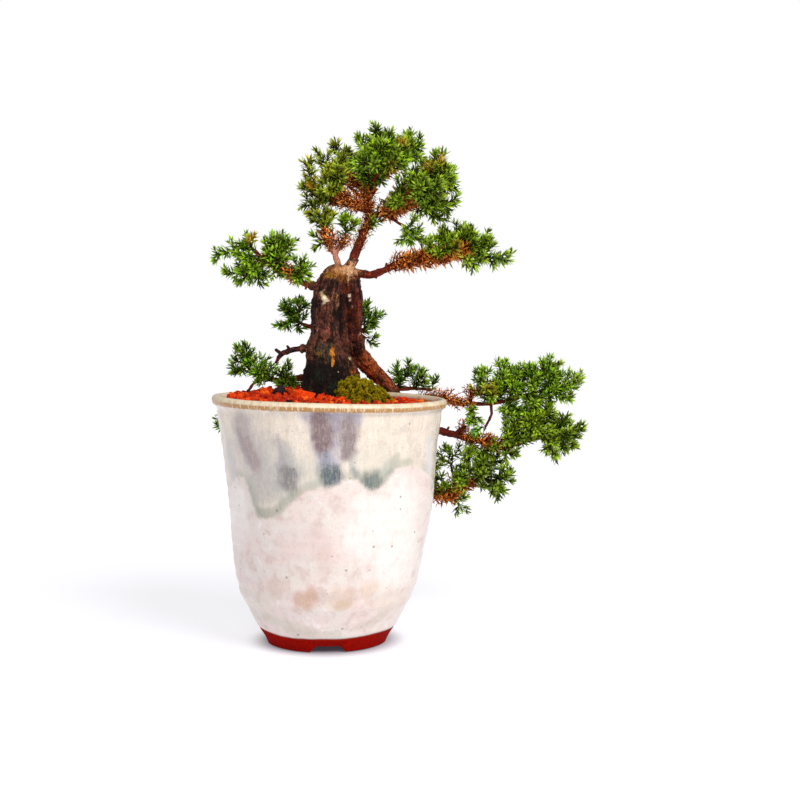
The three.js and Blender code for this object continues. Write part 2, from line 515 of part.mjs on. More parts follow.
// Points along a curve, one for each whorl, that leave room for the bud at the tip.
function whorls(curve, step) {
  const count = Math.max(2, Math.round((curve.getLength() - BUD) / step));
  const end = 1 - BUD / curve.getLength();
  return Array.from({ length: count + 1 }, (_, i) => curve.getPoint((end * i) / count));
}

function deadStretch({ points, radii }) {
  const curve = new THREE.CatmullRomCurve3(points.map(placed).map(vector));
  return needled(whorls(curve, DEAD_STEP), { radii, needle: DEAD_NEEDLE });
}

// The direction in which a spray leaves the wood, between the directions of its tips.
function heading({ at, tips }) {
  const start = vector(placed(at));
  return tips.reduce((sum, tip) => sum.add(vector(placed(tip)).sub(start).normalize()), new THREE.Vector3()).normalize();
}

const limbSides = (radius) => (radius > THICK_LIMB ? ROOT_SIDES : TWIG_SIDES);

function wood() {
  return joined([
    rootBase(),
    limb(FALLING_STEM.map(placed), STEM_SIDES, { flutes: STEM_FLUTES }),
    limb(TRUNK_WEB.map(placed), SCAR_SIDES),
    ...SCARS.map((rows) => limb(rows.map(placed), SCAR_SIDES)),
    ...BRANCHES.map((rows) => limb(rows.map(placed), limbSides(rows[0][3]))),
    ...DEAD_STRETCHES.map(deadStretch),
  ]);
}

// A side shoot that leaves a stem forwards, between two needles of one whorl, and bends up a little.
function sideShoot({ points, phase, seed }) {
  const random = seeded(seed * 97);
  const whorl = Math.max(1, Math.round(SIDE_PLACE * (points.length - 1)));
  const { point, along, side, across } = framesAlong(points)[whorl];
  const turn = phase + (whorl / 2 + seed) * radians(120);
  const lean = radians(SIDE_LEAN);
  const away = side.clone().multiplyScalar(Math.cos(turn)).addScaledVector(across, Math.sin(turn));
  const forward = along.clone().multiplyScalar(Math.cos(lean)).addScaledVector(away, Math.sin(lean));
  const start = point.clone().addScaledVector(along, SIDE_START * WHORL_STEP);
  const length = lerp(...SIDE_LENGTH, random());
  const middle = start.clone().addScaledVector(forward, length / 2);
  const tip = start.clone().addScaledVector(forward, length).add(new THREE.Vector3(0, 0, SIDE_RISE * length));
  return new THREE.QuadraticBezierCurve3(start, middle, tip);
}

// The short collar of a spray, moved out from the limb that carries it until it is just clear.
function collarOf(spray, carrier) {
  const ahead = heading(spray);
  const foot = vector(placed(spray.at));
  let body = null;
  do {
    foot.addScaledVector(ahead, SEAT_STEP);
    const end = foot.clone().addScaledVector(ahead, COLLAR);
    body = limb([[...foot, COLLAR_RADIUS], [...end, COLLAR_RADIUS]], COLLAR_SIDES);
  } while (body.minGap(carrier, CLEARANCE) < CLEARANCE);
  return { body, start: foot.addScaledVector(ahead, COLLAR / 2) };
}

// A stem that leaves its collar and bends out to its tip.
function stemCurve(spray, start, row) {
  const tip = vector(placed(row));
  const middle = start.clone().addScaledVector(heading(spray), STEM_BEND * start.distanceTo(tip));
  return new THREE.QuadraticBezierCurve3(start, middle, tip);
}

const greenShoot = (points, phase, foot) => needled(points, {
  radii: CORE_RADII, needle: NEEDLE, bare: 1, foot, phase,
});

function geometryOf({ vertProperties, triVerts }) {
  const geometry = new THREE.BufferGeometry();
  geometry.setAttribute('position', new THREE.BufferAttribute(vertProperties, 3));
  geometry.setIndex(new THREE.BufferAttribute(triVerts, 1));
  return geometry;
}

const juniperWood = wood();
const moss = mossCushion().subtract(rootBase(SEAT_GAP));
const red = redStone().subtract(rootBase(SEAT_GAP));
const dark = darkStone().subtract(redStone(SEAT_GAP));
const bed = gravel()
  .subtract(rootBase(SEAT_GAP))
  .subtract(mossCushion(SEAT_GAP))
  .subtract(redStone(SEAT_GAP))
  .subtract(darkStone(SEAT_GAP));

const bodies = {
  pot: [pot(), 'glaze'],
  drainage_mesh: [drainageMesh(), 'plastic'],
  soil: [soil(), 'soil'],
  lava_gravel: [bed, 'lava'],
  lava_stone_red: [red, 'lava'],
  lava_stone_dark: [dark, 'dark_lava'],
  moss: [moss, 'moss'],
  juniper_wood: [juniperWood, 'bark'],
};
// Whether a body stands clear of every body but the one that it grows on.
function isClear(body, name) {
  return Object.entries(bodies)
    .every(([other, [standing]]) => other === name || body.minGap(standing, CLEARANCE) >= CLEARANCE);
}

const starts = {};
for (const [name, spray] of Object.entries(SPRAYS)) {
  const collar = collarOf(spray, juniperWood);
  starts[name] = collar.start;
  bodies[name] = [collar.body, /left/.test(name) ? 'olive_needles' : 'needles'];
}

// Each stem grows where it is clear of what is there already.
const stems = [];
Object.entries(SPRAYS).forEach(([name, spray], order) => {
  spray.tips.forEach((row, branch) => {
    const points = whorls(stemCurve(spray, starts[name], row), WHORL_STEP);
    const shoot = greenShoot(points, branch);
    if (!isClear(shoot, name)) return;
    bodies[name][0] = bodies[name][0].add(shoot);
    stems.push({ name, points, phase: branch, forked: row[3] > 0, seed: order * 3 + branch });
  });
});

// Side shoots grow where there is room for them.
for (const stem of stems.filter(({ forked }) => forked)) {
  const shoot = greenShoot(whorls(sideShoot(stem), WHORL_STEP), 0, SIDE_FOOT);
  if (isClear(shoot, stem.name)) bodies[stem.name][0] = bodies[stem.name][0].add(shoot);
}

const bonsai = new THREE.Group();
bonsai.name = 'juniper_bonsai';
for (const [name, [body, finish]] of Object.entries(bodies)) {
  const geometry = geometryOf(body.translate([...POT_AXIS, 0]).getMesh());
  const mesh = new THREE.Mesh(geometry, new THREE.MeshStandardMaterial(FINISHES[finish]));
  mesh.name = name;
  bonsai.add(mesh);
}

export default bonsai;
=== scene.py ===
import math

import bmesh
import bpy
import numpy as np
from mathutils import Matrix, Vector, noise


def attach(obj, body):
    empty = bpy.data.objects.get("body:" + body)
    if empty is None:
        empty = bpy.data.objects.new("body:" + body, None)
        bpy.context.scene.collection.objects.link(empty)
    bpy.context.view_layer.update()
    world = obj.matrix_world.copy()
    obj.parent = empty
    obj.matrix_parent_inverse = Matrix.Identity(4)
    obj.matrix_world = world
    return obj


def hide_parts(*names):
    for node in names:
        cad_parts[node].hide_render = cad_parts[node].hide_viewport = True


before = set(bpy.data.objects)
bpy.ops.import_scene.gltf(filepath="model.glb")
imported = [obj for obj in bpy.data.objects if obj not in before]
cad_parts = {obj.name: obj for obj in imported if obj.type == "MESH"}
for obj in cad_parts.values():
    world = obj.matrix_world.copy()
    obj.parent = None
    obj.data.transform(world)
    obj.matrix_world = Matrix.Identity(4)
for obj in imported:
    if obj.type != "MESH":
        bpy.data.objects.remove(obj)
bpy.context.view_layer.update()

# Floor, light and camera. A white table top in a bright white room: soft daylight from the right, a window
# beside the camera and light all round, so that shadows stay faint.
PHOTO_SIDE = 800
FOCAL_PIXELS = 1387
CAMERA_PLACE = (-0.0025, -0.9093, 0.212)
CAMERA_PITCH = 3.52
TABLE_SIDE = 8
TABLE_LEVEL = -0.0004
FOOT_PLACE = (-0.0495, -0.0103, 0)
DIM_FROM, DIM_TO = 0.03, 0.058
TABLE_GLOW = 0.64
DAYLIGHT = 2.1
WINDOW_LIGHT = 2.0
ROOM_LIGHT = 0.48


def tint(code):
    """A colour written as six hex digits, as the linear values that Blender holds."""
    parts = [int(code[i:i + 2], 16) / 255 for i in (0, 2, 4)]
    return (*[p / 12.92 if p <= 0.04045 else ((p + 0.055) / 1.055) ** 2.4 for p in parts], 1.0)


def put(node, inputs):
    """Gives a node's inputs their values or links."""
    for key, value in inputs.items():
        if isinstance(value, bpy.types.NodeSocket):
            node.id_data.links.new(value, node.inputs[key])
        else:
            node.inputs[key].default_value = value


def add(tree, kind, inputs=(), **settings):
    """A new node, with its settings and its inputs."""
    made = tree.nodes.new(kind)
    for key, value in settings.items():
        setattr(made, key, value)
    put(made, dict(inputs))
    return made


def material(name):
    """A new material with an empty node tree but for its Principled shader."""
    made = bpy.data.materials.new(name)
    made.use_nodes = True
    tree = made.node_tree
    tree.nodes.clear()
    shader = add(tree, "ShaderNodeBsdfPrincipled")
    output = add(tree, "ShaderNodeOutputMaterial", {"Surface": shader.outputs[0]})
    output.is_active_output = True
    return made, tree, shader


bpy.ops.mesh.primitive_plane_add(size=TABLE_SIDE, location=(0, 0, TABLE_LEVEL))
table_top = bpy.context.object
table_top.name = "table_top"
table_white, tree, shader = material("table white")
# The table's own light stands for a bright room, and close to the pot's foot it fades to a painted lilac
# shadow.
place = add(tree, "ShaderNodeTexCoord").outputs["Object"]
from_foot = add(tree, "ShaderNodeVectorMath", {0: place, 1: FOOT_PLACE},
                operation="DISTANCE").outputs["Value"]
painted_shadow_fade = add(tree, "ShaderNodeMapRange", {0: from_foot, 1: DIM_FROM, 2: DIM_TO},
             interpolation_type="SMOOTHERSTEP").outputs[0]
glow_and_painted_shadow = add(tree, "ShaderNodeMix", {0: painted_shadow_fade, 6: (0.05, 0.045, 0.06, 1), 7: (1, 1, 1, 1)}, data_type="RGBA")
put(shader, {"Base Color": tint("b0b0bb"), "Roughness": 0.6, "Specular IOR Level": 0.1,
             "Emission Color": glow_and_painted_shadow.outputs[2], "Emission Strength": TABLE_GLOW})
table_top.data.materials.append(table_white)


def light(name, kind, place, target, power, colour, **settings):
    lamp = bpy.data.lights.new(name, kind)
    lamp.energy = power
    lamp.color = tint(colour)[:3]
    for key, value in settings.items():
        setattr(lamp, key, value)
    holder = bpy.data.objects.new(name, lamp)
    bpy.context.scene.collection.objects.link(holder)
    holder.location = place
    holder.rotation_euler = (Vector(target) - Vector(place)).to_track_quat("-Z", "Y").to_euler()


light("daylight from the right", "SUN", (1.2, -1.3, 1.6), (0, 0, 0.1), DAYLIGHT, "fffaf2",
      angle=math.radians(30))
light("window beside the camera", "AREA", (-0.1, -0.95, 0.62), (0, 0, 0.16), WINDOW_LIGHT, "ffffff",
      size=0.35)

world = bpy.data.worlds.new("white room")
world.use_nodes = True
sky = world.node_tree.nodes["Background"]
seen = add(world.node_tree, "ShaderNodeLightPath").outputs["Is Camera Ray"]
brightness = add(world.node_tree, "ShaderNodeMapRange", {0: seen, 3: ROOM_LIGHT}).outputs[0]
put(sky, {"Color": (1, 1, 1, 1), "Strength": brightness})
bpy.context.scene.world = world
bpy.context.scene.view_settings.view_transform = "Standard"
bpy.context.scene.view_settings.look = "None"

lens = bpy.data.cameras.new("camera")
lens.sensor_width = 36
lens.lens = 36 * FOCAL_PIXELS / PHOTO_SIDE
lens.clip_start, lens.clip_end = 0.02, 20
camera = bpy.data.objects.new("camera", lens)
bpy.context.scene.collection.objects.link(camera)
camera.location = CAMERA_PLACE
camera.rotation_euler = (math.radians(90 - CAMERA_PITCH), 0, 0)
bpy.context.scene.camera = camera


# The pot: stoneware thrown on a wheel as a tall bucket with a rolled rim, glazed cream with pools of
# grey-green, blue and mauve that ran down before they set. The foot ring is bare red clay, with four
# notches cut by hand so that water can drain.
POT_AXIS = (-49.5, -10.3, 0.0)
POT_SIDES = 192
POT_HEIGHT = 159.1
POT_LEAN = 0.016
POT_LEAN_HEIGHT = 62
POT_BULGE = 1.7
BULGE_HEIGHT = 90
BULGE_SPREAD = 28
RIM_DIP = 0.022
OUTSIDE = [(39.7, 1.0), (40.8, 3.6), (42.1, 6), (43.3, 8), (46.4, 14), (50.6, 22), (56.4, 33.5), (60.6, 52),
           (66, 92), (69.3, 128), (71.4, 142), (73, 151.5), (75.2, 153.6), (76, 156.2), (75.2, 158.4),
           (73.2, 159.1), (71.4, 157.8), (69.6, 153), (67.6, 147.5)]
INSIDE = [(67.6, 147.5), (64, 131), (60.4, 92), (55, 52), (50.2, 34.5), (42.6, 20.5), (33, 12.4)]
UNDERSIDE = [(33, 12), (22, 12), (11.6, 12), (11, 11.4), (11, 5.6), (11.6, 5), (20, 5), (28.9, 5),
             (29.5, 4.2), (30.4, 0.8), (31.1, 0), (34.8, 0), (38.7, 0), (39.4, 0.3)]
NOTCH_TURN = 4
NOTCH_HEIGHT = 4
NOTCH_TOP = 15
NOTCH_BOTTOM = 23
GLAZE_EDGE = 10.3
GLAZE_THICKNESS = 0.6
# Turns are measured in millimetres at this radius.
RUN_RADIUS = 66.0
# Runs that start above this height stay above the line where the darker glaze ends.
UPPER_RUNS = 86


def smooth_line(points, step):
    """Points about a step apart along a centripetal Catmull-Rom curve through the given ones."""
    rows = np.array(points, float)
    rows = np.vstack([2 * rows[0] - rows[1], rows, 2 * rows[-1] - rows[-2]])
    line = []
    for a, b, c, d in zip(rows, rows[1:], rows[2:], rows[3:]):
        gaps = [max(np.linalg.norm(q - p), 1e-6) ** 0.5 for p, q in ((a, b), (b, c), (c, d))]
        t0, t1, t2, t3 = np.cumsum([0.0, *gaps])
        for t in np.linspace(t1, t2, max(1, round(np.linalg.norm(c - b) / step)), endpoint=False):
            ab = (a * (t1 - t) + b * (t - t0)) / (t1 - t0)
            bc = (b * (t2 - t) + c * (t - t1)) / (t2 - t1)
            cd = (c * (t3 - t) + d * (t - t2)) / (t3 - t2)
            abc = (ab * (t2 - t) + bc * (t - t0)) / (t2 - t0)
            bcd = (bc * (t3 - t) + cd * (t - t1)) / (t3 - t1)
            line.append((abc * (t2 - t) + bcd * (t - t1)) / (t2 - t1))
    line.append(rows[-2])
    return np.array(line)


def ease(values, low, high):
    """0 below low, 1 above high, and smooth between."""
    part = np.clip((np.asarray(values, float) - low) / (high - low), 0, 1)
    return part * part * (3 - 2 * part)


def leaning(points):
    """The lean and bulge of the pot and the dip of its rim, in millimetres from the pot's axis."""
    x, y, z = points.T
    aside = POT_LEAN * (z - POT_LEAN_HEIGHT) + POT_BULGE * np.exp(-(((z - BULGE_HEIGHT) / BULGE_SPREAD) ** 2))
    return np.stack([x + aside, y, z - RIM_DIP * x * (z / POT_HEIGHT) ** 4], 1)


def net(rings, sides, first=0, joined=False):
    """The faces between one ring of points and the next, and from the last to the first if joined."""
    faces = []
    for i in range(rings if joined else rings - 1):
        for j in range(sides):
            k, m = (i + 1) % rings, (j + 1) % sides
            corners = (i * sides + j, i * sides + m, k * sides + m, k * sides + j)
            faces.append(tuple(first + n for n in corners))
    return faces


def piece_from(name, points, faces, edges=(), smooth=True):
    """A mesh object from points in millimetres from the pot's axis and the floor."""
    mesh = bpy.data.meshes.new(name)
    mesh.from_pydata(((np.asarray(points) + POT_AXIS) * 0.001).tolist(), list(edges), faces)
    mesh.polygons.foreach_set("use_smooth", [smooth] * len(mesh.polygons))
    mesh.update()
    made = bpy.data.objects.new(name, mesh)
    bpy.context.scene.collection.objects.link(made)
    return made


def finished(piece, slot, surface, *nodes):
    """A finished piece rides on the root body, stands for its CAD nodes and takes its material."""
    piece.data.materials.clear()
    piece.data.materials.append(surface)
    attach(piece, "root")
    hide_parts(*nodes)


def noise_at(points, scale, octaves=3):
    """Noise from about -1 to 1 at each point."""
    rows = (np.asarray(points) * scale).tolist()
    return np.array([noise.fractal(Vector(row), 0.9, 2.0, octaves) for row in rows])


def keep(mesh, name, values, kind="FLOAT"):
    """Stores values on the points of a mesh as a named attribute."""
    layer = mesh.attributes.new(name, kind, "POINT")
    part = {"FLOAT": "value", "FLOAT_VECTOR": "vector", "FLOAT_COLOR": "color"}[kind]
    layer.data.foreach_set(part, np.asarray(values, np.float32).ravel())


def laid_over(shades, code, share):
    """Colours with another one laid over them, by a share for each."""
    return shades * (1 - share[:, None]) + np.array(tint(code)) * share[:, None]


outer_line = smooth_line(OUTSIDE, 1.2)
inner_line = smooth_line(INSIDE, 3.0)[1:]
pot_line = np.vstack([outer_line, inner_line, UNDERSIDE])
turns = np.linspace(0, 2 * math.pi, POT_SIDES, endpoint=False)
radius, height = [np.repeat(column[:, None], POT_SIDES, 1) for column in pot_line.T]
turn = np.repeat(turns[None, :], len(pot_line), 0)
plain_height = height.copy()
widest = int(np.argmax(outer_line[:, 0]))
on_outside = np.zeros_like(radius)
on_outside[:widest] = 1
glaze_edge = GLAZE_EDGE - 0.8 * np.cos(2 * turn) + 0.35 * np.sin(3 * turn + 0.6) + 0.2 * np.sin(7 * turn + 2)
body = on_outside * ease(height, 14, 30) * (1 - ease(height, 138, 150))
throwing = 0.12 * np.sin(height / 1.25 + 1.6 * np.sin(height / 13) + turn)
throwing = throwing + 0.1 * np.sin(height / 3.1 + 2 * turn)
throwing = throwing + 0.22 * (1 - ease(height, 40, 60)) * np.sin(height / 2.1 + 0.8 * np.sin(turn))
wobble = 0.35 * np.sin(2 * turn + height / 60) + 0.2 * np.sin(3 * turn - height / 35 + 1)
coat = on_outside * GLAZE_THICKNESS * ease(height - glaze_edge, 0, 1.2) * (1 - ease(height, 146, 152))
radius = radius + body * (throwing + wobble) + coat
rolled = np.zeros_like(radius)
rolled[widest - 3:widest + 8] = 1
radius = radius + 0.16 * rolled * (np.sin(4 * turn + 1) + 0.7 * np.sin(7 * turn))
height = height + 0.14 * rolled * np.sin(5 * turn + 2)
# Each notch lifts the foot ring's underside, by an amount that fades out above it.
from_notch = (turn - math.radians(NOTCH_TURN) + math.pi / 4) % (math.pi / 2) - math.pi / 4
slope = (NOTCH_BOTTOM - NOTCH_TOP) / 2
lift = NOTCH_HEIGHT * (1 - np.clip((np.abs(from_notch) * radius - NOTCH_TOP / 2) / slope, 0, 1))
top = np.where(radius > 35, 8.0, 5.0)
raised = lift + height * (top - lift) / top
height = np.where((radius > 29) & (height < top) & (radius < 46), raised, height)
circle = np.stack([radius * np.sin(turn), -radius * np.cos(turn), height], 2)
pot = piece_from("glazed_pot", leaning(circle.reshape(-1, 3)), net(len(pot_line), POT_SIDES, joined=True))

# Where the darker glaze ends, as (turn from the front in degrees, height in millimetres).
RUN_LINE = [(-180, 112), (-150, 101), (-125, 114), (-105, 97), (-90, 95), (-65, 103.6), (-54, 110.7),
            (-48, 110.9), (-45, 106), (-43.8, 96), (-39, 86.6), (-31, 87), (-23.6, 91.6), (-16.5, 100.2),
            (-9, 104.5), (-2, 107.7), (6.5, 110.3), (12.5, 112.7), (17.7, 111.5), (24, 105.6), (31.7, 108.7),
            (35, 114.7), (39, 118), (49.4, 120.2), (58.7, 115.6), (70, 109), (90, 100), (115, 116), (135, 94),
            (155, 99), (180, 112)]
# The runs and pools of the glaze, and two painted highlights, as a path of (turn, height, half width), a
# colour and a strength.
RUNS_AND_HIGHLIGHTS = [
    ([(-46, 142.2, 6), (-44, 135.3, 7), (-41, 128.4, 6.5), (-39, 122.5, 5.8), (-38, 117, 3.4)],
     "b3a6a4", 0.8),
    ([(-49, 140.4, 2), (-46, 133.6, 2.6), (-43, 126.7, 2.6), (-40, 118, 2.2)], "9a8c90", 0.75),
    ([(-42, 136, 1.6), (-39, 127, 2.4), (-37, 120, 2)], "a08c8a", 0.7),
    ([(-23, 139, 1.6), (-23, 134, 1.6), (-22, 128, 2.3), (-22, 121, 3.4)], "a39a9e", 0.55),
    ([(-20, 117.3, 4.6), (-19, 111.8, 6)], "a0a0a2", 0.6),
    ([(-62, 128, 4.1), (-61, 120, 5.3), (-62, 112, 4.6)], "b4b6bf", 0.45),
    ([(-42, 142, 12), (-36, 122, 11), (-34, 106, 8)], "b4adac", 0.6),
    ([(-20, 130, 6), (-19, 118, 8)], "a2a1a4", 0.6),
    ([(3, 152, 12.5), (3.5, 136, 11.5), (4, 126, 8)], "bab2b8", 0.7),
    ([(-6, 151, 4.4), (4, 151, 5.2), (14, 150, 4.6)], "a8a4b2", 0.75),
    ([(-2, 148.6, 6.3), (-1, 141, 6.6), (0, 134.6, 5)], "765e60", 0.9),
    ([(-6, 150, 3), (-4, 138, 3), (-2, 130, 3)], "a79da4", 0.6),
    ([(10.5, 147, 5), (12, 139, 5.8), (12, 131, 5), (11, 127, 3.4)], "847474", 0.85),
    ([(5, 151, 2.6), (5, 138, 2.6), (3, 125, 3.4), (4, 118, 4.6)], "a9a6b4", 0.6),
    ([(0, 131, 3.4), (1, 126, 3), (1, 120, 2.7)], "868a9c", 0.8),
    ([(13, 129, 3.5), (13, 124, 3), (15, 117, 2.6)], "a0a2a8", 0.55),
    ([(14, 118.6, 2.2), (16, 115.5, 2.4)], "7f8580", 0.6),
    ([(4, 115.2, 6.4)], "566266", 0.92), ([(4.5, 114.6, 3)], "4e5e64", 0.7),
    ([(24, 111.4, 6.4)], "6c7570", 0.92), ([(23.5, 110.6, 3)], "5e6c6a", 0.65),
    ([(27, 113.2, 4), (32, 117, 4.2), (35, 121, 3.6), (39, 126, 2.4)], "a6aaa0", 0.6),
    ([(39, 121, 2.4), (49, 121.4, 2.4)], "b0b0a0", 0.7),
    ([(-46, 108, 2.2), (-43, 101, 2.8), (-41.5, 94, 3.0), (-39, 90, 2.6)], "a3a298", 0.5),
    ([(-40, 90.4, 3.2), (-35, 89.8, 2.8), (-28, 92.4, 2.8), (-20, 98.4, 3), (-15, 104.8, 3)], "9b9c90", 0.65),
    ([(-16, 105, 3), (-9, 108.4, 2.6), (-2, 111.6, 2.2)], "aaaaa0", 0.5),
    ([(-37, 107, 10), (-31, 103, 8), (-23, 105, 6.5)], "b6b6ac", 0.6),
    ([(-30, 120, 12), (-12, 118, 10), (-4, 116, 8)], "c2c1b6", 0.5),
    ([(19, 112.6, 2.2), (24, 108, 2.4), (31, 110.6, 2.2), (36, 116.4, 2.2)], "979b92", 0.6),
    ([(20, 122, 9), (30, 128, 6)], "cfcabb", 0.5),
    ([(-14, 37, 5), (-8, 39, 5), (-11, 34, 4)], "c29a80", 0.7), ([(9, 39, 7), (17, 38, 5)], "cdb19c", 0.5),
    ([(10, 33, 3), (15, 34, 3)], "bfa588", 0.45), ([(27, 42, 5), (32, 44, 4)], "cfb8a0", 0.5),
    ([(-31, 43, 6), (-24, 45, 5)], "ccb2a6", 0.5), ([(2, 57, 6), (0, 65, 6)], "d0b8ae", 0.55),
    ([(-20, 70, 9), (-4, 74, 9)], "d9c4c0", 0.5), ([(-10, 100, 7), (6, 101, 6)], "dac0b4", 0.6),
    ([(-40, 30, 8), (-60, 34, 8)], "d6cfc2", 0.45), ([(40, 34, 9), (60, 30, 8)], "d8c8b8", 0.45),
    ([(-73, 22, 4.5), (-42, 20.8, 3.4), (-19, 18, 3), (-7, 15.4, 2.6)], "c2bcae", 0.42),
    ([(-30, 14.6, 2.6), (-6, 13.4, 2.2), (12, 13.6, 2.2)], "bbb5a4", 0.4),
    ([(24, 17, 2.6), (37, 19.8, 3.6), (47, 24, 3.2)], "c0baaa", 0.42),
    ([(-55, 128, 14), (-34, 122, 12)], "cbc6c0", 0.5),
    ([(-19, 115, 5), (-18, 109, 4.5)], "7a7674", 0.8),
    # The next two near-white patches, on the right of the body and on its left, are painted highlights.
    ([(30, 84, 22), (44, 60, 18), (42, 96, 14)], "f6f0ec", 0.55),
    ([(-62, 84, 16), (-58, 98, 10)], "f6f0ec", 0.5),
    ([(65, 134, 2.6), (68, 124, 3.5), (68, 114.5, 2.9)], "c9cbd3", 0.6),
]
# The same kinds of run go on round the back, where the photograph shows nothing.
random = np.random.RandomState(5)
for around in range(86, 290, 17):
    start = around + random.uniform(-5, 5)
    top, low = 152 - random.uniform(0, 26), random.uniform(104, 128)
    aside, wide = random.uniform(-6, 6), random.uniform(4, 9)
    shade = ("9c8c8e", "a0a2a8", "b9b0ae", "a8a4b0", "c4bfb2")[random.randint(5)]
    path = [(start, top, wide), (start + aside, (top + low) / 2, wide * 0.8),
            (start + 1.5 * aside, low, wide * 0.5)]
    RUNS_AND_HIGHLIGHTS.append((path, shade, random.uniform(0.35, 0.75)))
    if random.rand() < 0.45:
        RUNS_AND_HIGHLIGHTS.append(([(start + 2 * aside, low - 2, random.uniform(4, 7))], "7c878a", 0.75))
    spot = (around + 5, random.uniform(28, 80), random.uniform(4, 10))
    RUNS_AND_HIGHLIGHTS.append(([spot], "d0b8ae", random.uniform(0.25, 0.5)))
outside_rows = widest * POT_SIDES
turned = np.degrees(turn).reshape(-1)[:outside_rows]
level = plain_height.reshape(-1)[:outside_rows]
around_axis = [RUN_RADIUS * f(np.radians(turned)) for f in (np.sin, np.cos)]
drift = noise_at(np.stack([*around_axis, level * 0.4], 1), 0.16, 3)


def from_path(path):
    """Each outside point's distance from a path of (turn, height), with the path's half width there."""
    best, width = np.full(outside_rows, 1e6), np.ones(outside_rows)
    across = (turned - path[0][0] + 180) % 360 - 180
    u = np.radians(across) * RUN_RADIUS
    spots = [(math.radians(row[0] - path[0][0]) * RUN_RADIUS, row[1], (*row, 1.0)[2]) for row in path]
    for (u0, v0, w0), (u1, v1, w1) in zip(spots, spots[1:] or spots):
        length = max((u1 - u0) ** 2 + (v1 - v0) ** 2, 1e-6)
        t = np.clip(((u - u0) * (u1 - u0) + (level - v0) * (v1 - v0)) / length, 0, 1)
        away = np.hypot(u - u0 - t * (u1 - u0), level - v0 - t * (v1 - v0))
        closer = away < best
        best = np.where(closer, away, best)
        width = np.where(closer, w0 + t * (w1 - w0), width)
    return best, width


signed = (turned + 180) % 360 - 180
line_angles, line_levels = zip(*RUN_LINE)
side_of_line = np.where(level > np.interp(signed, line_angles, line_levels), 1, -1)
border = np.full(outside_rows, 1e6)
for first in range(len(RUN_LINE) - 1):
    border = np.minimum(border, from_path(RUN_LINE[first:first + 2])[0])
above = border * side_of_line
stain_and_highlight = np.zeros(outside_rows)
stain_and_highlight_colour = np.tile(np.array(tint("c8c4b8")), (outside_rows, 1))
for path, code, strength in sorted(RUNS_AND_HIGHLIGHTS, key=lambda run: -sum(tint(run[1])[:3])):
    away, width = from_path(path)
    share = strength * (1 - ease(away / width + 0.5 * drift, 0.45, 1.6))
    if path[0][1] > UPPER_RUNS:
        share = share * ease(above, -2.5, 0.5)
    stain_and_highlight_colour = laid_over(stain_and_highlight_colour, code, share / np.maximum(1 - (1 - stain_and_highlight) * (1 - share), 1e-4))
    stain_and_highlight = 1 - (1 - stain_and_highlight) * (1 - share)
everywhere = len(pot.data.vertices)
above = np.r_[above, np.full(everywhere - outside_rows, 30.0)]
stain_and_highlight = np.r_[stain_and_highlight, np.zeros(everywhere - outside_rows)]
stain_and_highlight_colour = np.vstack([stain_and_highlight_colour, np.tile(stain_and_highlight_colour[-1], (everywhere - outside_rows, 1))])
from_edge = np.where(np.arange(everywhere) < outside_rows, (plain_height - glaze_edge).reshape(-1), 20.0)
underneath = np.arange(everywhere) >= (len(outer_line) + len(inner_line)) * POT_SIDES
from_edge = np.where(underneath, -20.0, from_edge)
keep(pot.data, "stain_and_highlight_colour", stain_and_highlight_colour, "FLOAT_COLOR")
for label, values in (("above", above), ("stain_and_highlight", stain_and_highlight), ("from_edge", from_edge),
                      ("rim_height", plain_height.ravel())):
    keep(pot.data, label, values)


def new_group(name, inputs, outputs):
    """A shader node group with named inputs, given as (name, default), and named outputs."""
    kinds = {float: "NodeSocketFloat", tuple: "NodeSocketVector", str: "NodeSocketColor"}
    group = bpy.data.node_groups.new(name, "ShaderNodeTree")
    for label, default in inputs:
        socket = group.interface.new_socket(label, in_out="INPUT", socket_type=kinds[type(default)])
        socket.default_value = tint(default) if isinstance(default, str) else default
    for label, default in outputs:
        group.interface.new_socket(label, in_out="OUTPUT", socket_type=kinds[type(default)])
    return group, group.nodes.new("NodeGroupInput").outputs, group.nodes.new("NodeGroupOutput")


def maths(tree, operation, *values):
    return add(tree, "ShaderNodeMath", dict(enumerate(values)), operation=operation).outputs[0]


def mixed(tree, factor, first, second, blend="MIX"):
    """Two colours mixed by a factor; each may be a link or six hex digits."""
    first, second = [tint(value) if isinstance(value, str) else value for value in (first, second)]
    return add(tree, "ShaderNodeMix", {0: factor, 6: first, 7: second},
               data_type="RGBA", blend_type=blend).outputs[2]


def spread(tree, value, low, high, bottom=0.0, top=1.0):
    """The value from low to high, smoothly mapped from bottom to top."""
    return add(tree, "ShaderNodeMapRange", {0: value, 1: low, 2: high, 3: bottom, 4: top},
               interpolation_type="SMOOTHSTEP").outputs[0]


def cloud(tree, vector, scale, detail=3.0, roughness=0.55, distortion=0.0):
    return add(tree, "ShaderNodeTexNoise", {"Vector": vector, "Scale": scale, "Detail": detail,
                                            "Roughness": roughness, "Distortion": distortion}).outputs[0]


def named(tree, name, output="Fac"):
    return add(tree, "ShaderNodeAttribute", attribute_name=name).outputs[output]


def layered(tree, colour, layers):
    """Lays colours over a first one: each by a value, its range, the share at either end, and the colour."""
    for value, low, high, bottom, top, over in layers:
        colour = mixed(tree, spread(tree, value, low, high, bottom, top), colour, over)
    return colour


def millimetres(tree):
    """Object coordinates in millimetres from the pot's axis and the floor."""
    place = add(tree, "ShaderNodeTexCoord").outputs["Object"]
    shift = [-c for c in POT_AXIS]
    return add(tree, "ShaderNodeMapping",
               {"Vector": place, "Location": shift, "Scale": (1000, 1000, 1000)}).outputs[0]


def bumped(tree, shader, height, strength, distance):
    """Gives a shader its fine relief, with the distance in metres."""
    bump = add(tree, "ShaderNodeBump", {"Strength": strength, "Distance": distance, "Height": height})
    put(shader, {"Normal": bump.outputs[0]})


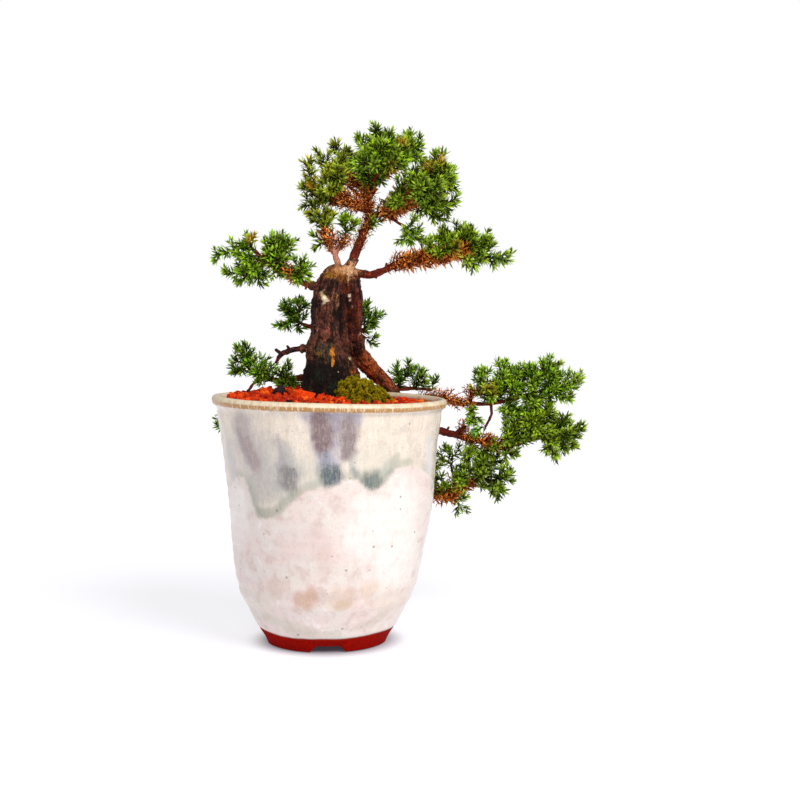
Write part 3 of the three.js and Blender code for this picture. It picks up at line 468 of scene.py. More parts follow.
# Specks: small dark or light grains scattered over a surface.
specks, given, result = new_group("Specks", [("Vector", (0.0, 0.0, 0.0)), ("Size", 1.0), ("Cover", 0.1)],
                                  [("Mask", 0.0)])
cells = add(specks, "ShaderNodeTexVoronoi",
            {"Vector": given["Vector"], "Scale": maths(specks, "DIVIDE", 1.0, given["Size"])})
chance = add(specks, "ShaderNodeSeparateColor", {0: cells.outputs["Color"]}).outputs[0]
near = maths(specks, "LESS_THAN", cells.outputs["Distance"], 0.32)
picked = maths(specks, "LESS_THAN", chance, given["Cover"])
put(result, {"Mask": maths(specks, "MULTIPLY", near, picked)})


def grains(tree, vector, size, cover):
    inputs = {"Vector": vector, "Size": size, "Cover": cover}
    return add(tree, "ShaderNodeGroup", inputs, node_tree=specks).outputs["Mask"]


glaze, tree, shader = material("cream glaze on red clay")
spot = millimetres(tree)
streaky = add(tree, "ShaderNodeMapping", {"Vector": spot, "Scale": (0.30, 0.30, 0.035)}).outputs[0]
streaks = cloud(tree, streaky, 1.0, 4.0, 0.6)
fine_streaks = cloud(tree, streaky, 3.4, 3.0, 0.6)
mottle = cloud(tree, spot, 0.06, 4.0, 0.6)
fine_mottle = cloud(tree, spot, 0.35, 4.0, 0.65)
granular = cloud(tree, spot, 1.1, 2.0, 0.8)
ragged = maths(tree, "MULTIPLY_ADD", fine_mottle, 5.0, -2.5)
ragged = maths(tree, "ADD", ragged, maths(tree, "MULTIPLY_ADD", granular, 1.6, -0.8))
above = maths(tree, "ADD", named(tree, "above"), ragged)
upper = spread(tree, above, -0.9, 1.5)
pool_edge = maths(tree, "MULTIPLY", upper, spread(tree, above, 0.6, 9.0, 0.55, 0.0))
pool_edge = maths(tree, "MULTIPLY", pool_edge,
                  spread(tree, cloud(tree, spot, 0.035, 2.0), 0.42, 0.58, 0.15, 1.0))
patches = cloud(tree, spot, 0.11, 3.0, 0.6)
lower_colour = mixed(tree, spread(tree, mottle, 0.35, 0.65), "e2cfca", "dfd6cf")
lower_colour = layered(tree, lower_colour, [
    (patches, 0.5, 0.72, 0.0, 0.8, "cdb5ae"), (patches, 0.28, 0.42, 0.6, 0.0, "f1ebe8"),
    (fine_mottle, 0.48, 0.72, 0.0, 0.4, "cfbcbd"), (granular, 0.55, 0.75, 0.0, 0.3, "c4b0a9")])
upper_colour = mixed(tree, spread(tree, streaks, 0.3, 0.7), "dfd0c0", "ebdfd1")
upper_colour = layered(tree, upper_colour, [
    (patches, 0.45, 0.7, 0.0, 0.5, "c4bab0"), (fine_streaks, 0.5, 0.72, 0.0, 0.3, "bcb6ab"),
    (granular, 0.5, 0.75, 0.0, 0.5, "a29b92")])
upper_colour = mixed(tree, pool_edge, upper_colour, "a9a89e")
colour = mixed(tree, upper, lower_colour, upper_colour)
grain = spread(tree, granular, 0.3, 0.7, 0.92, 1.06)
grain = maths(tree, "MULTIPLY", grain, spread(tree, fine_mottle, 0.35, 0.65, 0.88, 1.06))
grain = maths(tree, "MULTIPLY", grain, spread(tree, fine_streaks, 0.3, 0.7, 0.85, 1.15))
# The glaze runs' stains and the two painted highlights are laid on here.
stain_and_highlight_share = maths(tree, "MINIMUM", maths(tree, "MULTIPLY", named(tree, "stain_and_highlight"), grain), 1.0)
colour = mixed(tree, stain_and_highlight_share, colour, named(tree, "stain_and_highlight_colour", "Color"))
colour = mixed(tree, maths(tree, "MULTIPLY", grains(tree, spot, 1.0, 0.12), 0.3), colour, "8f857c")
colour = mixed(tree, maths(tree, "MULTIPLY", grains(tree, spot, 2.8, 0.02), 0.55), colour, "6e6259")
# The rim breaks to cream over ochre where the glaze ran thin.
rim_height = maths(tree, "ADD", named(tree, "rim_height"),
                   maths(tree, "MULTIPLY_ADD", fine_mottle, 1.2, -0.6))
colour = mixed(tree, spread(tree, rim_height, 153.4, 155.2, 0.0, 0.9), colour, "e6d8bc")
thin = maths(tree, "MULTIPLY", spread(tree, rim_height, 155.5, 157.0, 0.0, 0.35),
             spread(tree, streaks, 0.45, 0.62))
colour = mixed(tree, thin, colour, "b9853c")
ochre_line = spread(tree, rim_height, 155.9, 157.0, 1.0, 0.0)
ochre_line = maths(tree, "MULTIPLY", spread(tree, rim_height, 153.3, 154.2), ochre_line)
ochre_line = maths(tree, "MULTIPLY", ochre_line, spread(tree, fine_streaks, 0.36, 0.5, 0.35, 1.0))
colour = mixed(tree, maths(tree, "MULTIPLY", ochre_line, 0.9), colour, "a8742c")
clay_noise = cloud(tree, spot, 0.5, 5.0, 0.7)
clay_colour = mixed(tree, spread(tree, clay_noise, 0.3, 0.7), "7a0300", "980a00")
clay_colour = mixed(tree, maths(tree, "MULTIPLY", grains(tree, spot, 0.8, 0.15), 0.5), clay_colour, "4e0500")
from_edge = maths(tree, "ADD", named(tree, "from_edge"), maths(tree, "MULTIPLY_ADD", mottle, 1.4, -0.7))
bare = spread(tree, from_edge, -0.3, 0.3, 1.0, 0.0)
edge_shade = spread(tree, maths(tree, "ABSOLUTE", from_edge), 0.1, 1.2, 0.45, 0.0)
colour = mixed(tree, bare, colour, clay_colour)
colour = mixed(tree, edge_shade, colour, "7a3a20")
gloss = spread(tree, fine_mottle, 0.3, 0.7, 0.35, 0.5)
put(shader, {"Base Color": colour, "Roughness": maths(tree, "MULTIPLY_ADD", bare, 0.5, gloss),
             "Coat Weight": maths(tree, "MULTIPLY_ADD", bare, -0.55, 0.55), "Coat Roughness": 0.12,
             "Specular IOR Level": 0.06})
relief = maths(tree, "ADD", maths(tree, "MULTIPLY", fine_mottle, 0.5), maths(tree, "MULTIPLY", streaks, 0.5))
bumped(tree, shader, relief, 0.25, 0.0006)
finished(pot, "glaze", glaze, "pot")


# The drainage mesh: a square of black plastic netting, cut from a roll with scissors. It lies over the hole
# in the pot's floor and keeps the soil in, held down by the soil alone.
def dressed(node, surface):
    """Gives a node of the CAD model its own material."""
    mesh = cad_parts[node].data
    mesh.materials.clear()
    mesh.materials.append(surface)


netting, tree, shader = material("black plastic netting")
spot = millimetres(tree)
worn = cloud(tree, spot, 0.8, 3.0)
put(shader, {"Base Color": mixed(tree, worn, "17181a", "2c2d2b"),
             "Roughness": spread(tree, worn, 0.3, 0.7, 0.45, 0.7)})
bumped(tree, shader, worn, 0.2, 0.0002)
dressed("drainage_mesh", netting)


# The soil: a gritty dark mix of baked clay grains and bark, worked in around the roots with a stick until it
# fills the pot. It is hidden under the gravel.
soil_mix, tree, shader = material("gritty potting soil")
spot = millimetres(tree)
crumb = cloud(tree, spot, 0.7, 5.0, 0.7)
colour = mixed(tree, spread(tree, crumb, 0.3, 0.7), "2c1d15", "5d4332")
colour = mixed(tree, grains(tree, spot, 1.6, 0.2), colour, "8d7a63")
put(shader, {"Base Color": colour, "Roughness": spread(tree, crumb, 0.3, 0.7, 0.85, 1.0)})
bumped(tree, shader, crumb, 0.7, 0.001)
dressed("soil", soil_mix)


# The trunk: old juniper wood under thin bark that peels in strips. It rises out of its surface roots,
# and its top bends over into a second stem that falls behind the pot's rim. Rows are x, y, z and radius
# in millimetres from the pot's axis and the floor.
ROOT_BASE = [
    [0, 0, 128, 12], [0, 0, 146, 17], [-0.3, 0, 155, 18], [-1.2, 0, 164, 15.8], [-0.6, 0, 173, 15.4],
    [-0.5, 0, 181, 13.4], [-2.3, 0, 188.5, 12], [-1, 0, 198, 9.6], [-1.3, 0, 212, 9.2],
    [-0.8, 0.5, 221, 8.7], [1.2, 1.5, 230, 8.6], [4.5, 3, 237, 7.4], [8, 4.5, 241.5, 4.5],
]
ROOTS = [
    [[-8, -8, 170, 5.5], [-13, -12, 158, 5], [-16, -15, 148, 3.5]],
    [[8, -8, 168, 5.5], [13, -12, 157, 5], [16, -15, 148, 3.5]],
    [[11, 3, 186, 3.4], [16, 2, 178, 3.6], [17.5, 1, 170, 3.4], [16, 0, 160, 3.4], [14, 0, 149, 3]],
]
FALLING_STEM = [
    [11.5, 5, 243, 4], [12.3, 5.5, 239.5, 7.4], [13.4, 6.5, 232, 8.3], [15, 8.5, 222, 7.6],
    [15.2, 10.5, 210, 7.2], [16, 14, 199, 6.7], [19, 24, 188, 6], [25.5, 37, 178.5, 5.7],
    [32.4, 51, 170.8, 5.4], [39, 64, 164.3, 5.2], [45.5, 74, 156, 5], [50, 82, 146, 4.6],
    [53, 88, 131, 4.2], [55.5, 92, 113, 3.6], [58, 94, 95, 2.9],
]
TRUNK_WEB = [[7, 5, 236, 6], [7.5, 6, 222, 6.6], [8, 7, 206, 5.6], [10, 9, 194, 4.6], [12, 12, 187, 2.8]]
SCARS = [
    [[-2.4, -5, 224, 4.6], [-2.8, -9.4, 223, 4.2]],
    [[-1, -5, 201, 4.2], [-1.2, -9.8, 200, 3.4], [-1.2, -10.8, 200, 1.8]],
]
BRANCHES = [
    # The leader and the crown.
    [[13, 5.5, 239, 3.8], [16.5, 5, 247, 3.2], [19.2, 5, 254, 2.9], [24.6, 4, 267, 2.6],
     [27.4, 2, 274.5, 2.3], [27.3, 0, 281.5, 2]],
    [[27, 1, 275, 1.9], [40, 0, 278, 1.7], [51, -3, 284, 1.4], [62, -5, 291, 1.1]],
    [[40, 0, 278, 1.3], [48, 10, 287, 1.1], [54, 16, 294, 0.9]],
    [[51, -3, 284, 1.2], [58, -12, 286, 0.9]],
    [[27, 0, 279, 1.7], [17, -5, 284, 1.3], [6, -10, 291, 0.9]],
    [[27, 0.5, 278, 1.6], [12, 6, 283, 1.2], [3, 9, 285.5, 1.1], [-6, 11, 288, 0.9]],
    [[27.3, 0, 281, 1.9], [26, 1, 290, 1.6], [29, 2, 297, 1.3], [31, 2, 303, 1.1]],
    [[26, 1, 290, 1.3], [19, 7, 297, 1.1], [13, 10, 304, 0.9]],
    [[29, 2, 297, 1.3], [38, 3, 304, 1.1], [44, 3, 309, 0.9]],
    [[27, 1, 292, 1.3], [30, -8, 298, 1.1], [33, -14, 302, 0.9]],
    [[26, 1, 286, 1.2], [19, 13, 291, 1], [14, 19, 296, 0.9]],
    [[26, 1, 290, 1.2], [32, 12, 296, 1], [36, 19, 300, 0.9]],
    [[38, 0, 277, 1.1], [44, -5, 272, 1], [50, -8, 268, 0.9]],
    [[8, 3, 240, 2.4], [6, 2, 248, 2], [3, 1, 256, 1.6], [0, 0, 261, 1.2], [-2, -1, 264, 1]],
    [[5, 2, 251, 1.5], [9, 2, 257, 1.2], [12, 2, 261, 0.9]],
    # The right pad's branch, the left pad's branch and the dead twig under it.
    [[16, 2, 239, 3.2], [22, -1, 238.6, 2.5], [28.6, -3, 237.8, 2.4], [37, -4, 240.6, 2.3],
     [45.5, -5, 244.5, 2.1], [57, -6, 246, 1.9], [70, -7, 248, 1.6], [82, -8, 251, 1.2]],
    [[-3, 1, 229, 3.4], [-9, 0, 231, 2.3], [-14, -1, 232, 2], [-20, -2, 235, 1.8], [-25, -3, 239.5, 1.7],
     [-36, -4, 244, 1.4], [-42.5, -5, 249, 1.2], [-46, -6, 253, 1]],
    [[-7, -2, 190, 3], [-13, -2, 190, 2.2], [-17.6, -2, 190.2, 1.9], [-24.7, -2, 188.8, 1.8],
     [-30.3, -2, 186, 1.5], [-33.4, -2, 181, 0.9]],
    [[-29.5, -2, 186.4, 1.3], [-33.6, -2, 189.5, 0.9]],
    # The low branch on the left, and its trailer over the rim.
    [[-4, 6, 173, 4], [-12, 16, 171, 2.6], [-20, 22, 169.5, 2.2], [-30, 28, 167.5, 1.9],
     [-42, 33, 168.5, 1.5], [-50, 36, 172, 1.1]],
    [[-42, 33, 168.5, 1.2], [-48, 58, 167, 1], [-55, 72, 158, 1], [-66, 66, 143, 0.9]],
    # The twigs behind the trunk.
    [[-3, 5, 204, 3], [-12, 13, 204, 1.5], [-18, 17, 206, 1]],
    [[16, 13, 199, 2.6], [21, 22, 200, 1.6], [26, 28, 203, 1]],
    [[20, 20, 200, 1.3], [25, 26, 196, 0.9]],
    # The twig along the back rim.
    [[43, 70, 160, 2.6], [50, 77, 158, 1.8], [60, 81, 158, 1.4], [68, 82, 157.5, 1], [74, 82, 157, 0.9]],
    # The upper hanging branch.
    [[49, 80, 148, 3], [58, 83, 150, 2.2], [70, 84, 151, 2], [84, 82, 150.5, 1.8], [93, 80, 147, 1.6],
     [101, 78, 147.5, 1.5], [112, 76, 147.5, 1.4], [124, 74, 149.5, 1.3], [138, 72, 154, 1.1],
     [150, 71, 157.5, 0.9]],
    [[100, 78, 147.5, 1.4], [101, 77, 153, 1.2], [101, 77, 159, 0.9]],
    [[101, 77, 153, 1], [107, 77, 155.5, 0.8]],
    [[115, 75.5, 148, 1.1], [115, 74, 140, 1], [111, 73, 132, 0.9]],
    # The main hanging branch.
    [[52, 87, 133, 3.6], [60, 88, 130, 3.1], [70, 87, 128.5, 2.9], [80, 85, 127.5, 2.8], [90, 83, 125, 2.4],
     [103, 80, 122, 2.1], [116, 77, 119, 1.8], [128, 75, 118, 1.5], [140, 73, 121.5, 1.2],
     [150, 71, 124, 0.9]],
    [[90, 83, 125, 2], [97.5, 80, 131, 1.2]],
    # The low hanging branch.
    [[58, 94, 96, 2.8], [65, 91, 86, 2.4], [75, 88, 80.5, 2.1], [89, 85, 81, 1.9], [95, 84, 87, 1.6],
     [103, 82, 91, 1.4], [112, 80, 94, 0.9]],
    [[92, 84.5, 84, 1.3], [90, 83.5, 93, 1.1], [88, 83, 101, 0.9]],
]
# Zones of colour on the bark, and a painted shadow in the crevice between its lobes, as centre, half sizes,
# colour and strength, each laid over those before it.
BARK_ZONES_AND_CREVICE_SHADOW = [
    ([-2, -4, 212], [14, 16, 20], "653a2a", 0.7), ([-8, -2, 214], [4, 14, 18], "2b1a1c", 0.85),
    ([3.5, -4, 232.5], [6.5, 14, 5.5], "351a17", 0.9), ([11, 2, 240.5], [13, 14, 7], "b87c4c", 1.0),
    ([14.5, 0, 241.5], [7, 12, 5.5], "d8a67c", 0.9), ([2, -3, 237.6], [6, 10, 2.8], "a06a22", 0.9),
    ([11.5, -2, 235.2], [5, 10, 3.4], "935414", 0.95), ([13.8, 0, 237], [1.2, 10, 4.6], "e0b484", 0.7),
    ([-1, -9, 211], [6, 6, 7], "5a2e20", 0.7), ([5.2, -8, 224], [2.3, 6, 3.6], "b37a50", 0.95),
    ([6.9, -7, 217.5], [1.1, 6, 5.5], "b58662", 0.9), ([6.6, -6, 212.6], [2.2, 6, 2.6], "140806", 0.95),
    ([5.6, -7, 205], [2.4, 6, 6.5], "7a5046", 0.8), ([-2, -10, 189], [10, 10, 7], "463a2a", 0.9),
    ([-3, -8, 175], [24, 22, 10], "100c0a", 0.95), ([-4, -11, 187], [2.6, 6, 2.4], "84702c", 0.8),
    # The near-black narrow zone at x 8.6 is a painted shadow in the crevice between the two lobes.
    ([0, -11, 183], [6, 6, 3], "3a3a24", 0.7), ([8.6, -3, 211], [2.2, 9, 24], "060101", 1.0),
    ([15.2, 2, 214], [7, 12, 21], "360b04", 1.0), ([13.6, 0, 214], [3, 8, 3.5], "7a2e0e", 0.85),
    ([12.6, 0, 229], [3.4, 8, 3.4], "63220a", 0.8), ([15.6, 0, 205], [3, 8, 3.4], "66240c", 0.8),
    ([19.4, 2, 216], [1.8, 8, 15], "80280e", 0.8), ([19.5, 8, 200], [5, 12, 8], "561a0a", 0.95),
    ([21, 6, 197], [2.4, 6, 2.2], "b07038", 0.8), ([30, 38, 180], [18, 30, 15], "b85a2a", 1.0),
    ([36, 60, 168], [14, 20, 12], "b85a2e", 0.9), ([50, 86, 140], [14, 14, 40], "6e2c18", 0.9),
    ([0, 0, 160], [38, 38, 27], "050806", 1.0), ([-4, -13, 172], [5, 5, 5], "142416", 0.8),
    ([5, -14, 166], [4, 4, 5], "1c2c1c", 0.7), ([16.2, 0, 175.5], [2.6, 6, 2.8], "b05a20", 0.95),
]
# The healed cut of a limb, a paler knob below it, and flecks of lichen.
CUT_FACES = [
    ([-3.2, -10, 225.2], [2.1, 5, 2.1], "a39a6c", 0.95), ([-1.4, -10, 222.8], [2.3, 5, 2.3], "e0c89c", 1.0),
    ([0.4, -10, 220.7], [2.6, 5, 2.3], "f3e0c2", 1.0), ([-0.2, -10, 199.5], [3.2, 5, 3.0], "9c5240", 0.85),
    ([13.8, -1, 224.3], [0.9, 5, 0.8], "ead0ba", 0.9), ([14.4, -1, 221.2], [0.7, 5, 0.9], "dcb49c", 0.9),
    ([16, -1, 217.3], [0.7, 5, 0.7], "c99a80", 0.9), ([12.8, -1, 204], [0.9, 5, 0.7], "ead0ba", 0.9),
    ([19, 2, 200.8], [0.8, 5, 1.1], "d6a582", 0.9), ([20.8, 4, 198.6], [1.0, 5, 1.2], "e0b896", 0.9),
    ([24.3, 10, 192.5], [0.9, 5, 0.8], "dcae88", 0.9), ([14.7, 0, 184], [0.8, 5, 1.0], "e6d6a0", 0.9),
]
SAPWOOD = ([3.7, -13, 187], [1.8, 7, 8.6])
TRUNK_COLOUR, TWIG_COLOUR = "6a3c2c", "621a0c"
LIMB_SIDES, TWIG_SIDES = 24, 11
SKIN_CELL = 0.0007
# The first rows of a thick branch are part of the trunk's skin.
ROOTED_ROWS = 9
# The grain's length starts anew on each limb, this far from the last.
LIMB_STEP = 400
BACK_SHIFT = 0.052
BACK_RISE = 0.023


def placed(rows):
    """Rows as the camera sees them: what lies behind the trunk moves a little aside and up."""
    return [[row[0] - BACK_SHIFT * row[1], row[1], row[2] + BACK_RISE * row[1], *row[3:]] for row in rows]


def frames_along(points):
    """Directions along a line, with a side and an across direction that turn as little as they can."""
    along = np.gradient(points[:, :3], axis=0)
    along /= np.linalg.norm(along, axis=1)[:, None]
    side = np.array([1.0, 0, 0]) if abs(along[0][0]) < 0.8 else np.array([0, 1.0, 0])
    sides = []
    for ahead in along:
        side = side - ahead * np.dot(side, ahead)
        side /= np.linalg.norm(side)
        sides.append(side)
    sides = np.array(sides)
    return along, sides, np.cross(along, sides)


def tube(line, count, first=0):
    """Points and faces of a closed tube through rows of x, y, z and radius."""
    along, side, across = frames_along(line)
    angle = np.linspace(0, 2 * math.pi, count, endpoint=False)
    ring = np.cos(angle)[None, :, None] * side[:, None] + np.sin(angle)[None, :, None] * across[:, None]
    points = (line[:, None, :3] + ring * line[:, None, 3:4]).reshape(-1, 3)
    ends = np.array([line[0, :3] - along[0] * line[0, 3] * 0.4, line[-1, :3] + along[-1] * line[-1, 3] * 0.7])
    faces = net(len(line), count, first)
    base, tip = first + len(points), first + len(points) + 1
    last = base - count
    for j in range(count):
        k = (j + 1) % count
        faces += [(base, first + k, first + j), (tip, last + j, last + k)]
    return np.vstack([points, ends]), faces


def tubes(lines, count):
    """The points and faces of many tubes together."""
    points, faces = [], []
    first = 0
    for line in lines:
        more, around = tube(line, count, first)
        points.append(more)
        faces += around
        first += len(more)
    return np.vstack(points), faces


def lengths_along(line):
    """How far along a line each of its points lies."""
    return np.r_[0, np.cumsum(np.linalg.norm(np.diff(line[:, :3], axis=0), axis=1))]


def around_limbs(points, lines):
    """For each point, its offsets from the nearest limb and how far along that limb it lies."""
    centres = np.vstack(lines)
    along, side, across = [np.vstack(part) for part in zip(*[frames_along(line) for line in lines])]
    lengths = np.concatenate([lengths_along(line) + LIMB_STEP * i for i, line in enumerate(lines)])
    nearest = np.concatenate([
        np.argmin(np.linalg.norm(part[:, None] - centres[None, :, :3], axis=2) / centres[None, :, 3], axis=1)
        for part in np.array_split(points, max(1, len(points) // 2000))])
    away = points - centres[nearest, :3]
    offsets = [np.einsum("ij,ij->i", away, part[nearest]) for part in (side, across, along)]
    return np.stack([offsets[0], offsets[1], lengths[nearest] + offsets[2]], 1)


def reach_of(points, centre, sizes):
    """How far points lie from a centre, where 1 is the surface of an ellipsoid around it."""
    return np.linalg.norm((points - np.array(centre)) / np.array(sizes), axis=1)


def closeness(points, centre, sizes):
    """1 at a centre, falling smoothly to 0 just outside an ellipsoid around it."""
    return 1 - ease(reach_of(points, centre, sizes), 0.55, 1.15)


def coloured(points, shades, zones, ragged, low=0.45, high=1.2):
    """Colours with each zone's colour laid over them, each with a ragged edge."""
    for centre, sizes, code, strength in zones:
        reach = reach_of(points, centre, sizes) + ragged
        shades = laid_over(shades, code, strength * (1 - ease(reach, low, high)))
    return shades


limb_lines = [smooth_line(placed(rows), 1.2) for rows in [ROOT_BASE, *ROOTS, FALLING_STEM, TRUNK_WEB]]
scar_lines = [smooth_line(placed(rows), 1.0) for rows in SCARS]
thick_lines = [smooth_line(placed(rows), 1.2) for rows in BRANCHES if rows[0][3] >= 3]
rooted_lines = [line[:ROOTED_ROWS] for line in thick_lines]
rough_points, rough_faces = tubes(limb_lines + scar_lines + rooted_lines, LIMB_SIDES)
trunk = piece_from("juniper_trunk", rough_points, rough_faces)
remesh = trunk.modifiers.new("one skin", "REMESH")
remesh.mode = "VOXEL"
remesh.voxel_size = SKIN_CELL
smoothing = trunk.modifiers.new("softened", "SMOOTH")
smoothing.factor, smoothing.iterations = 0.5, 6
bpy.context.view_layer.update()
skin = bpy.data.meshes.new_from_object(trunk.evaluated_get(bpy.context.evaluated_depsgraph_get()))
trunk.modifiers.clear()
trunk.data = skin


def triples(rows, what):
    """Three numbers for each point of a mesh, such as its place or its normal, one after another."""
    values = np.zeros(len(rows) * 3)
    rows.foreach_get(what, values)
    return values


def pushed(mesh, distance):
    """Moves each point of a mesh along its normal, by a distance in millimetres."""
    moved = triples(mesh.vertex_normals, "vector") * np.repeat(distance, 3) * 0.001
    mesh.vertices.foreach_set("co", triples(mesh.vertices, "co") + moved)
    mesh.update()


points = triples(skin.vertices, "co").reshape(-1, 3) * 1000 - np.array(POT_AXIS)
grain = around_limbs(points, limb_lines)
strands = noise_at(grain * [1, 1, 0.13], 0.42, 3)
flakes = noise_at(grain * [1, 1, 0.35], 0.22, 2)
lumps = noise_at(points, 0.09, 2)
wrinkles = noise_at(points * [1, 1, 1.6], 0.24, 3)
uneven = 1.5 * noise_at(points, 0.3, 4)
bare_places = [*CUT_FACES[:4], ([13, 2, 241], [11, 14, 5])]
scar = np.max([closeness(points, *place[:2]) for place in bare_places], axis=0)
sapwood = closeness(points, *SAPWOOD) * np.clip(0.8 + strands + uneven, 0, 1.4)
low = 1 - ease(points[:, 2], 172, 184)
crust = noise_at(points, 0.55, 3)
depth = 0.9 * lumps + 0.8 * wrinkles + 0.75 * np.abs(strands) ** 0.8 * np.sign(strands)
depth = depth + 0.45 * ease(flakes, 0.0, 0.12)
depth = depth * (1 - 0.75 * low) + low * (0.7 * crust + 0.6 * lumps)
depth = depth * (1 - 0.7 * scar) - 0.5 * ease(sapwood, 0.2, 0.6)
pushed(skin, depth)
shades = coloured(points, np.array(tint(TRUNK_COLOUR)), BARK_ZONES_AND_CREVICE_SHADOW, 0.35 * strands + 0.25 * crust)
shades = coloured(points, shades, CUT_FACES, uneven, 0.4, 1.15)
keep(skin, "grain", grain, "FLOAT_VECTOR")
keep(skin, "bark_colour", shades, "FLOAT_COLOR")
keep(skin, "scar", np.clip(scar + 0.4 * uneven * (scar > 0.05), 0, 1))
keep(skin, "sapwood", np.clip(sapwood * 1.6, 0, 1))
keep(skin, "height", strands + 0.5 * flakes + 0.5 * wrinkles)
skin.polygons.foreach_set("use_smooth", [True] * len(skin.polygons))


# Bark: thin fibres that run along the limb, with painted shade in the cracks and a painted highlight on the
# ridges.
fibres, given, result = new_group("Bark fibres",
                                  [("Vector", (0.0, 0.0, 0.0)), ("Width", 1.0), ("Stretch", 0.1)],
                                  [("Fibre", 0.0), ("Flake", 0.0)])
shape = add(fibres, "ShaderNodeCombineXYZ", {0: 1.0, 1: 1.0, 2: given["Stretch"]}).outputs[0]
drawn = add(fibres, "ShaderNodeVectorMath", {0: given["Vector"], 1: shape}, operation="MULTIPLY").outputs[0]
drawn = add(fibres, "ShaderNodeVectorMath", {0: drawn, "Scale": maths(fibres, "DIVIDE", 1.0, given["Width"])},
            operation="SCALE").outputs[0]
put(result, {"Fibre": cloud(fibres, drawn, 1.6, 4.0, 0.65, 0.4),
             "Flake": cloud(fibres, drawn, 0.5, 3.0, 0.6, 0.8)})


def fibre_nodes(tree, width, stretch):
    inputs = {"Vector": named(tree, "grain", "Vector"), "Width": width, "Stretch": stretch}
    made = add(tree, "ShaderNodeGroup", inputs, node_tree=fibres)
    return made.outputs["Fibre"], made.outputs["Flake"]


old_bark, tree, shader = material("old juniper bark")
fibre, flake = fibre_nodes(tree, 0.8, 0.09)
spot = millimetres(tree)
colour = named(tree, "bark_colour", "Color")
raised = named(tree, "height")
calm = spread(tree, named(tree, "scar"), 0.25, 0.6, 1.0, 0.25)
wrinkles = cloud(tree, spot, 0.75, 4.0, 0.7, 0.5)
# Painted shade darkens the hollows of the relief, the fibres' cracks and the wrinkles, less on bare scars.
for value, low, high, most, code in ((raised, -0.5, 0.05, 0.8, "0d0403"), (fibre, 0.38, 0.55, 0.8, "120604"),
                                     (wrinkles, 0.36, 0.5, 0.85, "100504")):
    crack_shade = maths(tree, "MULTIPLY", calm, spread(tree, value, low, high, most, 0.0))
    colour = mixed(tree, crack_shade, colour, code)
# A painted highlight pales the fibres' ridges and the wrinkles' crests.
for value, low, high in ((fibre, 0.54, 0.66), (wrinkles, 0.53, 0.64)):
    ridge_highlight = mixed(tree, 0.85, colour, colour, "ADD")
    colour = mixed(tree, spread(tree, value, low, high, 0.0, 0.9), colour, ridge_highlight)
colour = mixed(tree, maths(tree, "MULTIPLY", grains(tree, spot, 1.5, 0.012), 0.7), colour, "d9b89c")
sap_mask = spread(tree, named(tree, "sapwood"), 0.25, 0.6)
colour = mixed(tree, sap_mask, colour, mixed(tree, spread(tree, wrinkles, 0.4, 0.6), "84400f", "e29a38"))
put(shader, {"Base Color": colour, "Roughness": spread(tree, fibre, 0.3, 0.7, 0.9, 0.62),
             "Specular IOR Level": 0.16})
relief = maths(tree, "ADD", maths(tree, "MULTIPLY_ADD", flake, 0.6, fibre), wrinkles)
bumped(tree, shader, relief, 0.8, 0.0009)
finished(trunk, "bark", old_bark, "juniper_wood")


# The branches: limbs of a few millimetres, kept short by pruning, with dark red scaly bark and the stubs
# of shoots that were cut away. Each grows out of the trunk or out of another branch.
STUBS = [
    ([31, -3.5, 239], [31.5, -4, 235.5]), ([38, -4.5, 241], [38, -5, 245]), ([43, -5, 243], [44, -6.5, 240]),
    ([22, -1, 239], [21, -2, 236]), ([24, 4, 265], [20.5, 3, 266.5]), ([26, 3, 271], [29.5, 2, 270]),
    ([-13, -1, 232], [-14, -2.5, 228.5]), ([-24, -2, 188.8], [-26, -4, 192]), ([60, 88, 130], [61, 86, 134]),
    ([72, 87, 128.4], [74, 86, 124.5]), ([84, 84, 126.8], [86, 83, 130.5]), ([66, 91, 85.5], [64, 90, 81]),
    ([30, 47, 173], [33.5, 46, 175]), ([41, 67, 162], [44.5, 66, 164.5]), ([21, 28, 186], [25, 27, 187]),
]
BRANCH_STEP = 1.1
branch_lines = [smooth_line(placed(rows), BRANCH_STEP) for rows in BRANCHES]
for foot, tip in STUBS:
    middle = (np.array(foot) + tip) / 2
    branch_lines.append(smooth_line(placed([[*foot, 1.2], [*middle, 1.0], [*tip, 0.7]]), BRANCH_STEP))
branch_points, branch_faces = tubes(branch_lines, TWIG_SIDES)
branches = piece_from("juniper_branches", branch_points, branch_faces)
grain = around_limbs(branch_points, branch_lines)
scales = noise_at(grain * [1, 1, 0.45], 0.75, 2)
knots = noise_at(branch_points, 0.3, 2)
thick = np.linalg.norm(grain[:, :2], axis=1)
pushed(branches.data, (0.3 * scales + 0.35 * knots) * np.clip(thick / 1.6, 0.35, 1.6))
BRANCH_ZONES = [
    ([-8, 1, 231], [8, 10, 5], "b5682a", 0.9), ([5.5, 1, 250.5], [7, 8, 9], "d89c80", 0.9),
    ([-28, -2, 189], [18, 12, 9], "1c0d14", 1.0), ([70, -7, 248], [28, 14, 9], "8a2c10", 0.6),
    ([-30, 26, 168], [50, 30, 14], "4a2212", 0.7),
]
keep(branches.data, "grain", grain, "FLOAT_VECTOR")
shades = coloured(branch_points, np.array(tint(TWIG_COLOUR)), BRANCH_ZONES, 0.3 * knots)
keep(branches.data, "bark_colour", shades, "FLOAT_COLOR")
keep(branches.data, "height", scales)

young_bark, tree, shader = material("dark red branch bark")
fibre, flake = fibre_nodes(tree, 0.5, 0.35)
# The fibres' troughs are darkened as painted shade; the flakes are paler.
colour = layered(tree, named(tree, "bark_colour", "Color"), [
    (fibre, 0.36, 0.52, 0.85, 0.0, "190504"), (flake, 0.52, 0.68, 0.0, 0.75, "b4522a")])
put(shader, {"Base Color": colour, "Roughness": spread(tree, fibre, 0.3, 0.7, 0.85, 0.6),
             "Specular IOR Level": 0.16})
bumped(tree, shader, maths(tree, "ADD", flake, fibre), 0.6, 0.0004)
finished(branches, "bark", young_bark, "juniper_wood")


